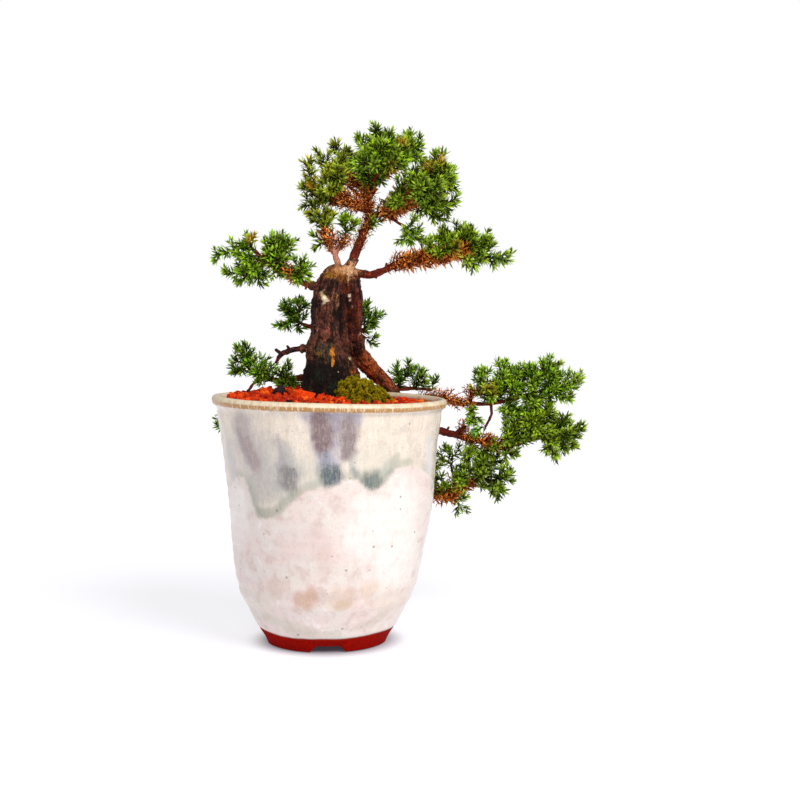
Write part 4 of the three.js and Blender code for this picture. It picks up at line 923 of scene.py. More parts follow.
# The gravel: red lava chips of four to eight millimetres, spread two or three deep over the soil.
# Darker chips lie among them. The bed is heaped up on the left and a little lower at the right of the rim.
GRAVEL_TOP = 155
GRAVEL_DROP = 1.5
GRAVEL_MOUND = 4.5
MOUND_CENTRE = (-28, 5)
MOUND_SPREAD = 38
GRAVEL_RADIUS = 68
BED_BOTTOM = 147
BED_ROWS = [(0, BED_BOTTOM), (60, BED_BOTTOM), (65.4, BED_BOTTOM), (66.8, 150), (67, None), (50, None),
            (30, None), (15, None), (0, None)]
BED_SIDES = 48
# The layers of chips, from the lowest up, as the space between chips and their height over the bed's top.
CHIP_LAYERS = [(4.4, -3.2), (4.2, -0.9), (4.6, 1.4)]
CHIP_SIZES = (2.1, 3.5)
CHIP_SHAPES = 7
ROCK_CORNERS = 15
# How much higher the chips are heaped in the middle of the pot than along the rim.
CHIP_HEAP = 1.8
GOLDEN_ANGLE = 2.39996
DARK_STONE_SPOT = (-31, -12)
DARK_STONE_REACH = 8
TRUNK_REACH = 12
RIM_ROOM = 1.8


def gravel_height(x, y):
    reach = np.hypot(x - MOUND_CENTRE[0], y - MOUND_CENTRE[1]) / MOUND_SPREAD
    return GRAVEL_TOP - GRAVEL_DROP * ease(x, 15, 60) + GRAVEL_MOUND * np.exp(-reach ** 2)


def facing_out(mesh, weld=False):
    """Turns a mesh's faces outwards, after closing its seams and poles if asked."""
    shell = bmesh.new()
    shell.from_mesh(mesh)
    if weld:
        bmesh.ops.remove_doubles(shell, verts=shell.verts, dist=1e-6)
        bmesh.ops.dissolve_degenerate(shell, edges=shell.edges, dist=1e-6)
    bmesh.ops.recalc_face_normals(shell, faces=shell.faces)
    shell.to_mesh(mesh)
    shell.free()


def hull(points):
    """A mesh of the convex hull of points."""
    shell = bmesh.new()
    for point in points:
        shell.verts.new(point)
    made = bmesh.ops.convex_hull(shell, input=shell.verts)
    loose = {v for v in made["geom_interior"] + made["geom_unused"] if isinstance(v, bmesh.types.BMVert)}
    bmesh.ops.delete(shell, geom=list(loose), context="VERTS")
    bmesh.ops.recalc_face_normals(shell, faces=shell.faces)
    mesh = bpy.data.meshes.new("hull")
    shell.to_mesh(mesh)
    shell.free()
    return mesh


def rock_points(random, radii, count):
    """Random points near the surface of an ellipsoid, in millimetres."""
    way = random.normal(size=(count, 3))
    way /= np.linalg.norm(way, axis=1)[:, None]
    return way * random.uniform(0.82, 1.0, (count, 1)) * np.array(radii)


def geometry_tree(name, inputs):
    """A Geometry Nodes tree that takes a mesh and named inputs, given as (name, kind, default)."""
    tree = bpy.data.node_groups.new(name, "GeometryNodeTree")
    tree.interface.new_socket("Geometry", in_out="INPUT", socket_type="NodeSocketGeometry")
    tree.interface.new_socket("Geometry", in_out="OUTPUT", socket_type="NodeSocketGeometry")
    for label, kind, default in inputs:
        socket = tree.interface.new_socket(label, in_out="INPUT", socket_type="NodeSocket" + kind)
        if default is not None:
            socket.default_value = default
    return tree, tree.nodes.new("NodeGroupInput").outputs, tree.nodes.new("NodeGroupOutput")


def made_by(tree, base, name, values):
    """Runs a Geometry Nodes tree on an object and returns the result as a plain mesh object."""
    modifier = base.modifiers.new("growth", "NODES")
    modifier.node_group = tree
    labels = {item.name: item.identifier for item in tree.interface.items_tree if item.in_out == "INPUT"}
    for label, value in values.items():
        modifier[labels[label]] = value
    bpy.context.view_layer.update()
    mesh = bpy.data.meshes.new_from_object(base.evaluated_get(bpy.context.evaluated_depsgraph_get()))
    mesh.name = name
    old = base.data
    base.modifiers.clear()
    base.data = mesh
    base.name = name
    bpy.data.meshes.remove(old)
    return base


def random_value(tree, low, high, seed):
    """A number, or a vector, drawn anew for each point or instance."""
    kind, first, out = ("FLOAT_VECTOR", 0, 0) if isinstance(low, tuple) else ("FLOAT", 2, 1)
    return add(tree, "FunctionNodeRandomValue", {first: low, first + 1: high, "Seed": seed},
               data_type=kind).outputs[out]


def attribute_in(tree, name, kind="FLOAT"):
    return add(tree, "GeometryNodeInputNamedAttribute", {"Name": name}, data_type=kind).outputs[0]


def with_chance(tree, instances, name, seed):
    """Gives each instance a number from 0 to 1, kept as a named attribute."""
    made = add(tree, "GeometryNodeStoreNamedAttribute", {"Geometry": instances, "Name": name},
               data_type="FLOAT", domain="INSTANCE")
    put(made, {"Value": random_value(tree, 0.0, 1.0, seed)})
    return made.outputs[0]


def ended(tree, geometry, given, result):
    """Ends a tree, with its material set on the result."""
    inputs = {"Geometry": geometry, "Material": given["Material"]}
    put(result, {"Geometry": add(tree, "GeometryNodeSetMaterial", inputs).outputs[0]})


random = np.random.RandomState(11)
chip_meshes = bpy.data.collections.new("chips")
for i in range(CHIP_SHAPES):
    shape = hull(rock_points(random, (1.1, 0.9, 0.72), ROCK_CORNERS) * 0.001)
    chip_meshes.objects.link(bpy.data.objects.new(f"chip {i}", shape))

scatter, given, result = geometry_tree("Scatter of chips", [
    ("Chips", "Collection", None), ("Smallest", "Float", 1.3), ("Largest", "Float", 2.6),
    ("Material", "Material", None), ("Seed", "Int", 4)])
chips = add(scatter, "GeometryNodeCollectionInfo", {"Collection": given["Chips"], "Separate Children": True,
                                                    "Reset Children": True}).outputs[0]
scale = random_value(scatter, given["Smallest"], given["Largest"], given["Seed"])
scale = maths(scatter, "MULTIPLY", scale, attribute_in(scatter, "size"))
spin = random_value(scatter, (0.0, 0.0, 0.0), (6.28, 6.28, 6.28), given["Seed"])
spread_chips = add(scatter, "GeometryNodeInstanceOnPoints", {
    "Points": given["Geometry"], "Instance": chips, "Pick Instance": True, "Rotation": spin, "Scale": scale})
toned = with_chance(scatter, spread_chips.outputs[0], "tone", 77)
solid = add(scatter, "GeometryNodeRealizeInstances", {"Geometry": toned}).outputs[0]
ended(scatter, solid, given, result)


def lava_material(name, dark, middle, light, pale, odd):
    """Porous volcanic stone, its colour changing from chip to chip, with painted shade in its pits and pores
    and dust on its ridges.
    """
    made, tree, shader = material(name)
    spot = millimetres(tree)
    tone = named(tree, "tone")
    pores = cloud(tree, spot, 1.4, 4.0, 0.7)
    colour = layered(tree, dark, [
        (tone, 0.1, 0.75, 0.0, 1.0, middle), (tone, 0.78, 0.95, 0.0, 1.0, light),
        (pores, 0.36, 0.5, 0.75, 0.0, dark), (pores, 0.56, 0.7, 0.0, 0.6, pale),
        (tone, 0.955, 0.96, 0.0, 1.0, odd)])
    holes = add(tree, "ShaderNodeTexVoronoi", {"Vector": spot, "Scale": 2.2}).outputs["Distance"]
    pitted = spread(tree, holes, 0.1, 0.35)
    # Painted shade darkens the pits, as it darkens the pores' troughs above.
    colour = mixed(tree, maths(tree, "MULTIPLY_ADD", pitted, -0.45, 0.45), colour, dark)
    put(shader, {"Base Color": colour, "Roughness": spread(tree, pores, 0.3, 0.7, 0.95, 0.7),
                 "Specular IOR Level": 0.15})
    bumped(tree, shader, maths(tree, "MULTIPLY_ADD", pores, 0.6, pitted), 0.6, 0.0006)
    return made


red_lava = lava_material("red lava gravel", "a81c04", "f44604", "ff7418", "ffa050", "2a1412")
points = []
for layer, (spacing, rise) in enumerate(CHIP_LAYERS):
    count = int(math.pi * GRAVEL_RADIUS ** 2 / spacing ** 2)
    for i in range(count):
        reach = GRAVEL_RADIUS * math.sqrt((i + 0.5) / count) - 0.6 * layer
        around = i * GOLDEN_ANGLE + 1.3 * layer
        x, y = [reach * f(around) + random.uniform(-0.8, 0.8) for f in (math.cos, math.sin)]
        top = float(gravel_height(x, y)) - 0.6
        reach = math.hypot(x, y)
        z = top + rise + random.uniform(-0.6, 0.7) + CHIP_HEAP * (1 - (reach / GRAVEL_RADIUS) ** 2)
        from_stone = math.hypot(x - DARK_STONE_SPOT[0], y - DARK_STONE_SPOT[1])
        by_stone = layer > 0 and from_stone < DARK_STONE_REACH
        in_bed = TRUNK_REACH < reach < GRAVEL_RADIUS - RIM_ROOM
        if in_bed and not by_stone and (layer < 2 or random.rand() < 0.6):
            points.append((x, y, z))
# A few larger pieces lie highest, against the front of the rim.
points += [(11, -60, 157.4), (16, -57, 157), (36, -52, 156.8), (44, -47, 156.6), (52, -38, 156.4),
           (-22, -58, 157.6), (-34, -50, 158.2), (-42, -42, 158.6), (-29, -54, 158), (26, -56, 157)]
points = np.array(points)
# A closed bed under the chips, so that no gap between them shows the soil.
bed_rows = []
for radius, level in BED_ROWS:
    for j in range(BED_SIDES):
        angle = j * math.pi / (BED_SIDES / 2)
        x, y = radius * math.cos(angle), radius * math.sin(angle)
        bed_rows.append((x, y, level if level is not None else float(gravel_height(x, y)) - 3.2))
bed = piece_from("lava_bed", leaning(np.array(bed_rows)), net(len(BED_ROWS), BED_SIDES))
facing_out(bed.data, weld=True)
keep(bed.data, "tone", np.full(len(bed.data.vertices), 0.3))
finished(bed, "lava", red_lava, "lava_gravel")

seeds = piece_from("gravel_seeds", leaning(points), [])
keep(seeds.data, "size", random.uniform(0.8, 1.25, len(points)))
chips_piece = made_by(scatter, seeds, "lava_chips", {
    "Chips": chip_meshes, "Smallest": CHIP_SIZES[0], "Largest": CHIP_SIZES[1], "Material": red_lava})
finished(chips_piece, "lava", red_lava, "lava_gravel")


# The two larger lava stones beside the trunk: broken pieces of volcanic rock, one red and one nearly black,
# pressed a little way into the gravel.
def broken_stone(name, centre, radii, turn, seed):
    """An angular stone with worn edges, turned about its upright axis."""
    grain = np.random.RandomState(seed)
    shape = hull(rock_points(grain, (1, 1, 1), ROCK_CORNERS) * 1.08)
    shell = bmesh.new()
    shell.from_mesh(shape)
    bpy.data.meshes.remove(shape)
    bmesh.ops.bevel(shell, geom=shell.edges, offset=0.07, segments=1, affect="EDGES")
    bmesh.ops.triangulate(shell, faces=shell.faces)
    bmesh.ops.subdivide_edges(shell, edges=shell.edges, cuts=2, use_grid_fill=True)
    bmesh.ops.triangulate(shell, faces=shell.faces)
    rows = np.array([v.co for v in shell.verts])
    rows = rows * (1 + 0.03 * noise_at(rows, 3.0))[:, None] * np.array(radii)
    cos, sin = math.cos(turn), math.sin(turn)
    rows = rows @ np.array([[cos, sin, 0], [-sin, cos, 0], [0, 0, 1]]) + np.array(centre)
    faces = [[v.index for v in f.verts] for f in shell.faces]
    shell.free()
    made = piece_from(name, rows, faces, smooth=False)
    keep(made.data, "tone", np.full(len(rows), 0.72))
    return made


red_stone = broken_stone("broken_lava_stone", [-14, -25, 162], (9.6, 6.4, 5.6), 0.35, 3)
finished(red_stone, "lava", red_lava, "lava_stone_red")
black_lava = lava_material("black lava", "120d10", "2b1e20", "4a2c28", "6d4a42", "120d10")
dark_stone = broken_stone("dark_lava_stone", [-31, -8, 162.2], (7.6, 5.8, 5.2), 1.2, 8)
finished(dark_stone, "dark_lava", black_lava, "lava_stone_dark")


# The moss: a cushion of yellow-green tufts, each a few short leaves on a stem, that has spread over the
# gravel against the trunk. Nothing fixes it but its own fine roots.
MOSS_CENTRE = [25, -13, 157]
MOSS_RADII = [17.5, 19, 16]
MOSS_DEPTH = 5
MOSS_SLANT = 0.35
MOSS_SIDES, MOSS_RINGS = 56, 30
TUFT_DENSITY = 260000.0
TUFT_LEAVES = 7
moss_green, tree, shader = material("yellow-green moss")
spot = millimetres(tree)
patches = cloud(tree, spot, 0.22, 3.0)
fuzz = cloud(tree, spot, 1.8, 3.0, 0.7)
# The darkest layers are painted shade: in the troughs of the fine fuzz and in the hollows between the
# cushion's lumps.
colour = layered(tree, "867206", [
    (patches, 0.35, 0.65, 0.0, 1.0, "bca210"), (fuzz, 0.35, 0.5, 0.7, 0.0, "2a2a04"),
    (named(tree, "blade"), 0.35, 1.0, 0.0, 0.8, "b8ae1c"),
    (named(tree, "tone"), 0.7, 1.0, 0.0, 0.6, "6a4a10"),
    (named(tree, "hollow"), 0.0, 1.0, 0.0, 0.92, "171503")])
put(shader, {"Base Color": colour, "Roughness": 0.9, "Specular IOR Level": 0.1})
bumped(tree, shader, fuzz, 0.8, 0.0008)

rows, hollow = [], []
for i in range(MOSS_RINGS + 1):
    tilt = math.pi * i / MOSS_RINGS
    for j in range(MOSS_SIDES):
        around = 2 * math.pi * j / MOSS_SIDES
        way = Vector((math.sin(tilt) * math.cos(around), math.sin(tilt) * math.sin(around), math.cos(tilt)))
        lumps = noise.fractal(way * 5.2 + Vector((3, 1, 7)), 0.8, 2.0, 3)
        swell = 0.95 + 0.17 * lumps - 0.3 * max(way.x, 0) * max(way.z, 0)
        # The hollows between the lumps are kept for painted shade.
        hollow.append(float(1 - ease(lumps, -0.3, 0.1)))
        aside = MOSS_SLANT * max(way.z, 0) * MOSS_RADII[2]
        rows.append((way.x * MOSS_RADII[0] * swell - aside, way.y * MOSS_RADII[1] * swell,
                     way.z * (MOSS_RADII[2] * swell - 1.4 if way.z > 0 else MOSS_DEPTH)))
faces = [(a, d, c, b) for a, b, c, d in net(MOSS_RINGS + 1, MOSS_SIDES)]
cushion = piece_from("moss_cushion", np.array(rows) + MOSS_CENTRE, faces)
keep(cushion.data, "hollow", hollow)
facing_out(cushion.data, weld=True)
for label in ("blade", "tone"):
    keep(cushion.data, label, np.zeros(len(cushion.data.vertices)))

# One tuft is a few short leaves that spread from a point.
points, faces = [], []
for i in range(TUFT_LEAVES):
    around, lean = i * 2.4, 0.25 + 0.12 * i
    way = np.array([math.sin(lean) * math.cos(around), math.sin(lean) * math.sin(around), math.cos(lean)])
    side = np.array([-math.sin(around), math.cos(around), 0]) * 0.28
    back = np.cross(way, side) * 0.6
    first = len(points)
    points += [side, -side, back, *(way * 0.55 + edge * 0.8 for edge in (side, -side, back)), way]
    faces += [tuple(first + n for n in face) for face in
              ((0, 3, 4, 1), (1, 4, 5, 2), (2, 5, 3, 0), (3, 6, 4), (4, 6, 5), (5, 6, 3), (0, 1, 2))]
tuft_mesh = bpy.data.meshes.new("tuft")
tuft_mesh.from_pydata((np.array(points) * 0.001).tolist(), [], faces)
keep(tuft_mesh, "blade", np.array([[0, 0, 0, 0.5, 0.5, 0.5, 1.0]] * TUFT_LEAVES).ravel())
tuft = bpy.data.objects.new("tuft", tuft_mesh)


def whole_of(tree, item):
    """An object's geometry, as one instance."""
    return add(tree, "GeometryNodeObjectInfo", {"Object": item, "As Instance": True}).outputs["Geometry"]


def joined(tree, parts):
    """Several geometries as one."""
    made = add(tree, "GeometryNodeJoinGeometry")
    for part in parts:
        tree.links.new(part, made.inputs[0])
    return made.outputs[0]


tufting, given, result = geometry_tree("Tufts on a surface", [
    ("Tuft", "Object", None), ("Density", "Float", 600000.0), ("Smallest", "Float", 1.4),
    ("Largest", "Float", 2.6), ("Material", "Material", None), ("Seed", "Int", 3)])
spread_out = add(tufting, "GeometryNodeDistributePointsOnFaces", {
    "Mesh": given["Geometry"], "Density": given["Density"], "Seed": given["Seed"]})
angle = random_value(tufting, 0.0, 6.28, given["Seed"])
spun = add(tufting, "FunctionNodeAxisAngleToRotation", {"Axis": (0, 0, 1), "Angle": angle}).outputs[0]
turned = add(tufting, "FunctionNodeRotateRotation", {0: spread_out.outputs["Rotation"], 1: spun},
             rotation_space="LOCAL")
set_out = add(tufting, "GeometryNodeInstanceOnPoints", {
    "Points": spread_out.outputs[0], "Instance": whole_of(tufting, given["Tuft"]),
    "Rotation": turned.outputs[0],
    "Scale": random_value(tufting, given["Smallest"], given["Largest"], 21)})
toned = with_chance(tufting, set_out.outputs[0], "tone", 5)
solid = add(tufting, "GeometryNodeRealizeInstances", {"Geometry": toned}).outputs[0]
ended(tufting, joined(tufting, [given["Geometry"], solid]), given, result)
moss = made_by(tufting, cushion, "moss_cushion", {
    "Tuft": tuft, "Density": TUFT_DENSITY, "Material": moss_green})
finished(moss, "moss", moss_green, "moss")


# The foliage: garden juniper, with stiff pointed needles of five to six millimetres in whorls of three
# round every shoot. Older shoots are dark green, the tips bright, and the left of the crown is olive.
# Each clump has the colours of its old and young needles, its slot, how full it is, its stems, and short
# shoots that fill it from inside. A stem or shoot is given by where it leaves the wood and by its tips.
CLUMPS = {
    "crown_foliage": (("34700a", "c4ea20"), "needles", 0.95, {
        "crown_apex": ([31, 2, 303], [[33, 2, 335.5], [20, -3, 329], [43, -4, 330]]),
        "crown_upper_right": ([44, 3, 309], [[54, 5, 331], [63, -6, 323]]),
        "crown_right": ([62, -5, 291], [[73, -2, 320], [85, -6, 302]]),
        "crown_lower_right": ([54, -3.6, 286], [[87, -3, 283], [75, -10, 271]]),
        "crown_back_right": ([54, 16, 294], [[68, 28, 313], [76, 22, 294]]),
        "crown_front_right": ([58, -12, 286], [[74, -26, 294], [56, -29, 296]]),
        "crown_front": ([33, -14, 302], [[34, -26, 324], [15, -26, 309], [52, -28, 310]]),
        "crown_back": ([36, 19, 300], [[40, 33, 319], [26, 35, 306]]),
        "crown_hanging": ([50, -8, 268], [[64, -11, 257], [48, -18, 256]]),
        "crown_middle": ([45, -1.4, 280.7], [[50, -19, 303], [43, -22, 284]]),
        "top_twig_right": ([12, 2, 261], [[11, -3, 277]]),
        "top_twig_low": ([1, 0.3, 259.5], [[-10, -3, 255]]),
    }, [
        ([27, 1, 292], [[22, -12, 307], [35, -12, 303]]), ([31, 2, 303], [[44, -12, 317], [27, -14, 318]]),
        ([50, -8, 268], [[58, -14, 264]]), ([51, -3, 284], [[60, -16, 303], [67, -14, 291]]),
        ([44, 3, 309], [[54, -12, 318], [62, 6, 318]]), ([62, -5, 291], [[78, -12, 309], [84, -2, 293]]),
        ([60, -5, 290], [[80, -6, 276], [66, -10, 276]]), ([24, 4, 267], [[33, -3, 272]]),
    ]),
    "crown_left_foliage": (("566a0a", "dcd41c"), "olive_needles", 0.82, {
        "crown_upper_left": ([13, 10, 304], [[3, 12, 326], [17, 20, 320]]),
        "crown_front_left": ([6, -10, 291], [[-7, -13, 318], [10, -24, 306]]),
        "crown_left": ([-6, 11, 288], [[-13, 6, 316], [-19, 5, 297]]),
        "crown_lower_left": ([3, 9, 285.5], [[-19, 2, 281]]),
        "crown_back_left": ([14, 19, 296], [[3, 31, 310]]),
        "top_twig_left": ([-2, -1, 264], [[-12, -5, 281], [1, 4, 281]]),
    }, [
        ([12, 6, 283], [[4, 12, 298]]), ([6, -10, 291], [[-5, -20, 301], [3, -20, 290]]),
        ([3, 9, 285.5], [[-9, 2, 298], [-4, 0, 286]]), ([14, 9, 303], [[6, -2, 314]]),
    ]),
    "right_pad_foliage": (("3c740a", "ccec20"), "needles", 1.05, {
        "right_pad_tip": ([82, -8, 251], [[121, -8, 246], [108, -2, 263], [97, -17, 242]]),
        "right_pad_middle": ([74, -7.3, 249], [[94, 3, 269], [75, -10, 267]]),
        "right_pad_front": ([66, -6.7, 247.4], [[84, -24, 256], [64, -22, 260]]),
    }, [
        ([76, -7, 250], [[72, -10, 264], [84, -12, 262]]), ([82, -8, 251], [[90, -12, 267], [100, -6, 256]]),
    ]),
    "left_pad_foliage": (("30700c", "b0e224"), "olive_needles", 0.85, {
        "left_pad_tip": ([-46, -6, 253], [[-76, -8, 248], [-53, -4, 265]]),
        "left_pad_low": ([-41, -4.8, 248], [[-58, -14, 231], [-45, 8, 230], [-69, -2, 237]]),
        "left_pad_middle": ([-34, -3.8, 243.2], [[-20, -11, 262], [-38, -13, 264]]),
        "left_pad_root": ([-25, -3, 239.5], [[-14, -15, 235]]),
    }, [
        ([-36, -4, 244], [[-30, -9, 258], [-27, -10, 248]]),
        ([-44, -5, 250], [[-60, -8, 252], [-54, -10, 243]]),
        ([-31, -3.5, 241.5], [[-27, -12, 251], [-39, -12, 254], [-30, -12, 236]]),
        ([-22, -2, 237], [[-15, -9, 249], [-10, -7, 240]]),
        ([-30, -5, 251], [[-28, -12, 263], [-36, -10, 261]]),
    ]),
    "low_left_foliage": (("226208", "8cd220"), "olive_needles", 1.05, {
        "low_left_tip": ([-50, 36, 172], [[-60, 38, 193], [-67, 36, 173]]),
        "low_left_middle": ([-37, 31, 168], [[-42, 25, 180], [-50, 22, 172]]),
        "low_left_inner": ([-25, 25, 168.5], [[-21, 14, 163], [-34, 21, 163]]),
        "low_left_trailer": ([-66, 66, 143], [[-75, 45, 131]]),
        "behind_left": ([-18, 17, 206], [[-30, 20, 220], [-34, 18, 203], [-15, 20, 222]]),
    }, [
        ([-42, 33, 168.5], [[-52, 26, 184], [-45, 24, 172]]),
        ([-30, 28, 167.5], [[-33, 18, 177], [-24, 18, 172]]),
        ([-18, 17, 206], [[-27, 16, 212], [-22, 14, 200], [-14, 16, 212]]),
    ]),
    "behind_foliage": (("205408", "84c81c"), "needles", 1.0, {
        "behind_right": ([26, 28, 203], [[26, 30, 222], [34, 32, 208]]),
        "behind_right_low": ([25, 26, 196], [[33, 30, 190]]),
        "back_rim_inner": ([50, 77, 158], [[50, 80, 173], [62, 84, 176]]),
        "back_rim_outer": ([74, 82, 157], [[77, 84, 167]]),
    }, [
        ([60, 81, 158], [[66, 77, 172], [72, 76, 166]]), ([23, 24, 200], [[30, 26, 214], [31, 24, 200]]),
    ]),
    "hanging_upper_foliage": (("387c0e", "c0f828"), "needles", 1.02, {
        "hanging_upper_stub": ([111, 76.2, 147.5], [[107, 74, 175]]),
        "hanging_upper_middle": ([120, 74.7, 148.8], [[122, 68, 181], [136, 70, 175]]),
        "hanging_upper_back": ([131, 73, 151.5], [[144, 86, 176]]),
        "hanging_upper_outer": ([142, 71.7, 155.2], [[152, 62, 180], [163, 78, 179]]),
        "hanging_upper_tip": ([150, 71, 157.5], [[182, 70, 167], [172, 62, 150]]),
        "hanging_upper_bright": ([111, 73, 132], [[100, 71, 128]]),
        "hanging_upper_drop": ([101, 78, 147.5], [[103, 72, 131]]),
    }, [
        ([112, 76, 147.5], [[114, 66, 163], [118, 84, 160]]),
        ([124, 74, 149.5], [[126, 62, 136], [133, 84, 140], [130, 66, 166]]),
        ([138, 72, 154], [[142, 60, 140], [152, 80, 146], [146, 62, 170]]),
        ([148, 71.2, 157], [[164, 66, 160], [160, 76, 146], [164, 68, 172]]),
    ]),
    "hanging_main_foliage": (("38680a", "bcdc1c"), "needles", 1.2, {
        "hanging_main_tip": ([150, 71, 124], [[182, 70, 130], [177, 64, 119],
                                              [159, 62, 108], [170, 78, 139]]),
        "hanging_main_outer": ([138, 73.4, 120.9], [[153, 84, 142]]),
        "hanging_main_middle": ([130, 74.6, 118.6], [[148, 60, 135], [136, 82, 143]]),
        "hanging_main_low": ([120, 76.3, 118.7], [[134, 70, 109]]),
        "hanging_main_drop": ([101, 80.5, 122.4], [[99, 76, 103]]),
    }, [
        ([128, 75, 118], [[126, 62, 132], [136, 66, 126]]),
        ([140, 73, 121.5], [[144, 60, 144], [158, 70, 148], [160, 64, 130]]),
        ([110, 78.5, 120.4], [[114, 70, 108], [122, 84, 112]]),
    ]),
    "hanging_low_foliage": (("285408", "94bc1c"), "needles", 1.2, {
        "hanging_low_tip": ([112, 80, 94], [[134, 77, 98], [124, 72, 80]]),
        "hanging_low_middle": ([104, 81.8, 91.4], [[110, 70, 112], [123, 90, 110]]),
        "hanging_low_upper": ([88, 83, 101], [[85, 80, 119]]),
        "hanging_low_inner": ([70, 89.5, 82.8], [[76, 84, 108], [64, 80, 74]]),
        "hanging_low_drop": ([89, 85, 81], [[97, 78, 69]]),
    }, [
        ([95, 84, 87], [[92, 73, 99], [104, 78, 104]]), ([80, 86.6, 80.6], [[84, 76, 94], [72, 80, 92]]),
        ([103, 82, 91], [[116, 74, 88], [110, 86, 104]]),
    ]),
}
# Buds and tips of another colour, as x, z, radius in millimetres and colour.
TINTED = [
    (48.7, 320, 4.5, "d99a2c"), (64.8, 304.7, 4.5, "d8912a"), (74, 309, 5, "dba33a"),
    (-9.1, 295, 5, "e09a1e"), (-47.1, 260, 5, "c9952a"), (111, 160.5, 5.5, "c8a02c"),
    (42.5, 302.7, 4.5, "b2452a"), (-3.2, 303.6, 4, "cfe04a"), (32.4, 277.3, 4, "bfd044"),
    (-13.7, 316.7, 5, "b9cf4a"), (101, 130, 6, "86d424"), (176, 168, 9, "b4cc3c"), (160, 180, 7, "b8c840"),
    (76, 288, 6, "a9b440"), (118, 247, 5, "a9c65a"), (-12, 272, 6, "b5a838"), (86, 252, 7, "dc8a2c"),
]
# Shaded parts of the clumps, as x, z, radius in millimetres and how much light is left.
SHADED = [(66, 284, 22, 0.7), (78, 268, 16, 0.72), (36, 284, 14, 0.75), (-6, 250, 14, 0.9)]
# How side shoots and twigs leave a stem: the millimetres between them, the turn from one to the next, and
# length and lean at the stem's start and tip. Stems bend, and shoots keep clear of the outline's tips.
SHOOT_EVERY = 2.6
SHOOT_TURN = 137.5
SHOOT_LENGTH = (12.5, 4.5)
SHOOT_LEAN = (62, 46)
SHOOT_RISE = 0.2
TWIG_EVERY = 3.5
TWIG_LENGTH = (7.0, 3.5)
STEM_BEND = 0.45
TIP_ROOM = 4.4
REACH_ROOM = 1.0
WHORL_SPACING = 1.75
# Stems whose side shoots stay short, so that they stand apart from the rest.
SLENDER = {"low_left_trailer": 0.45, "crown_left": 0.42, "crown_apex": 0.85, "crown_upper_left": 0.6,
           "crown_front_left": 0.65, "left_pad_tip": 0.5, "right_pad_front": 0.35, "left_pad_low": 0.85,
           "crown_lower_left": 0.8, "crown_middle": 0.5, "crown_hanging": 0.8, "right_pad_tip": 0.9,
           "hanging_upper_middle": 0.85}


def needle_whorl(name, lean, length, width):
    """A whorl of three stiff awl needles about +Z, hollow above and keeled below."""
    points, faces, blade, upper = [], [], [], []
    for i in range(3):
        around = math.radians(120 * i)
        out = np.array([math.cos(around), math.sin(around), 0])
        side = np.array([-math.sin(around), math.cos(around), 0])
        place, first = out * 0.3, len(points)
        for share, wide, thick, angle in ((0.0, 0.7, 0.3, lean - 12), (0.5, 1.0, 0.36, lean)):
            tilt = math.radians(angle)
            ahead = out * math.sin(tilt) + np.array([0, 0, math.cos(tilt)])
            below = out * math.cos(tilt) - np.array([0, 0, math.sin(tilt)])
            place = place + ahead * length * share
            half = side * width * wide / 2
            points += [place + half, place - half, place + below * thick]
            blade += [share] * 3
        points.append(place + ahead * length * 0.5)
        blade.append(1.0)
        a, b, tip = first, first + 3, first + 6
        faces += [(a, a + 2, a + 1), (a, a + 1, b + 1, b), (a + 1, a + 2, b + 2, b + 1), (a + 2, a, b, b + 2),
                  (b, b + 1, tip), (b + 1, b + 2, tip), (b + 2, b, tip)]
        upper += [0, 1, 0, 0, 1, 0, 0]
    mesh = bpy.data.meshes.new(name)
    mesh.from_pydata((np.array(points) * 0.001).tolist(), [], faces)
    keep(mesh, "blade", blade)
    layer = mesh.attributes.new("upper", "FLOAT", "FACE")
    layer.data.foreach_set("value", np.array(upper, np.float32))
    facing_out(mesh)
    return bpy.data.objects.new(name, mesh)


needles_open = needle_whorl("open whorl", 64, 5.7, 1.45)
needles_half = needle_whorl("half open whorl", 46, 5.4, 1.45)
needles_tip = needle_whorl("tip whorl", 26, 4.4, 1.3)

# The tree: resamples each shoot, sets a whorl on every point, and sweeps a thin stem along it.
growth, given, result = geometry_tree("Needles along shoots", [
    ("Open whorl", "Object", None), ("Half open whorl", "Object", None), ("Tip whorl", "Object", None),
    ("Whorl spacing", "Float", 0.0015), ("Stem radius", "Float", 0.00045), ("Needle scale", "Float", 1.0),
    ("Unevenness", "Float", 0.15), ("Wildness", "Float", 0.16), ("Material", "Material", None),
    ("Seed", "Int", 1)])
lines = add(growth, "GeometryNodeMeshToCurve", {"Mesh": given["Geometry"]}).outputs[0]
shoots = add(growth, "GeometryNodeResampleCurve", {"Curve": lines, "Length": given["Whorl spacing"]},
             mode="LENGTH").outputs[0]
to_tip = attribute_in(growth, "to_tip")
index = add(growth, "GeometryNodeSplineParameter").outputs["Index"]
even = maths(growth, "MULTIPLY", index, math.radians(60))
jitter = random_value(growth, -0.35, 0.35, given["Seed"])
own_turn = maths(growth, "MULTIPLY", attribute_in(growth, "tone"), 6.28)
angle = maths(growth, "ADD", even, maths(growth, "ADD", jitter, own_turn))
ahead = attribute_in(growth, "heading", "FLOAT_VECTOR")
aligned = add(growth, "FunctionNodeAlignRotationToVector", {"Vector": ahead}, axis="Z")
spun = add(growth, "FunctionNodeAxisAngleToRotation", {"Axis": (0, 0, 1), "Angle": angle})
turned = add(growth, "FunctionNodeRotateRotation", {0: aligned.outputs[0], 1: spun.outputs[0]},
             rotation_space="LOCAL")
wild = random_value(growth, (-1.0, -1.0, 0.0), (1.0, 1.0, 0.0), 31)
wild = add(growth, "ShaderNodeVectorMath", {0: wild, "Scale": given["Wildness"]},
           operation="SCALE").outputs[0]
wild = add(growth, "FunctionNodeEulerToRotation", {0: wild}).outputs[0]
turned = add(growth, "FunctionNodeRotateRotation", {0: turned.outputs[0], 1: wild},
             rotation_space="LOCAL").outputs[0]
low = maths(growth, "SUBTRACT", 1.0, given["Unevenness"])
high = maths(growth, "ADD", 1.0, given["Unevenness"])
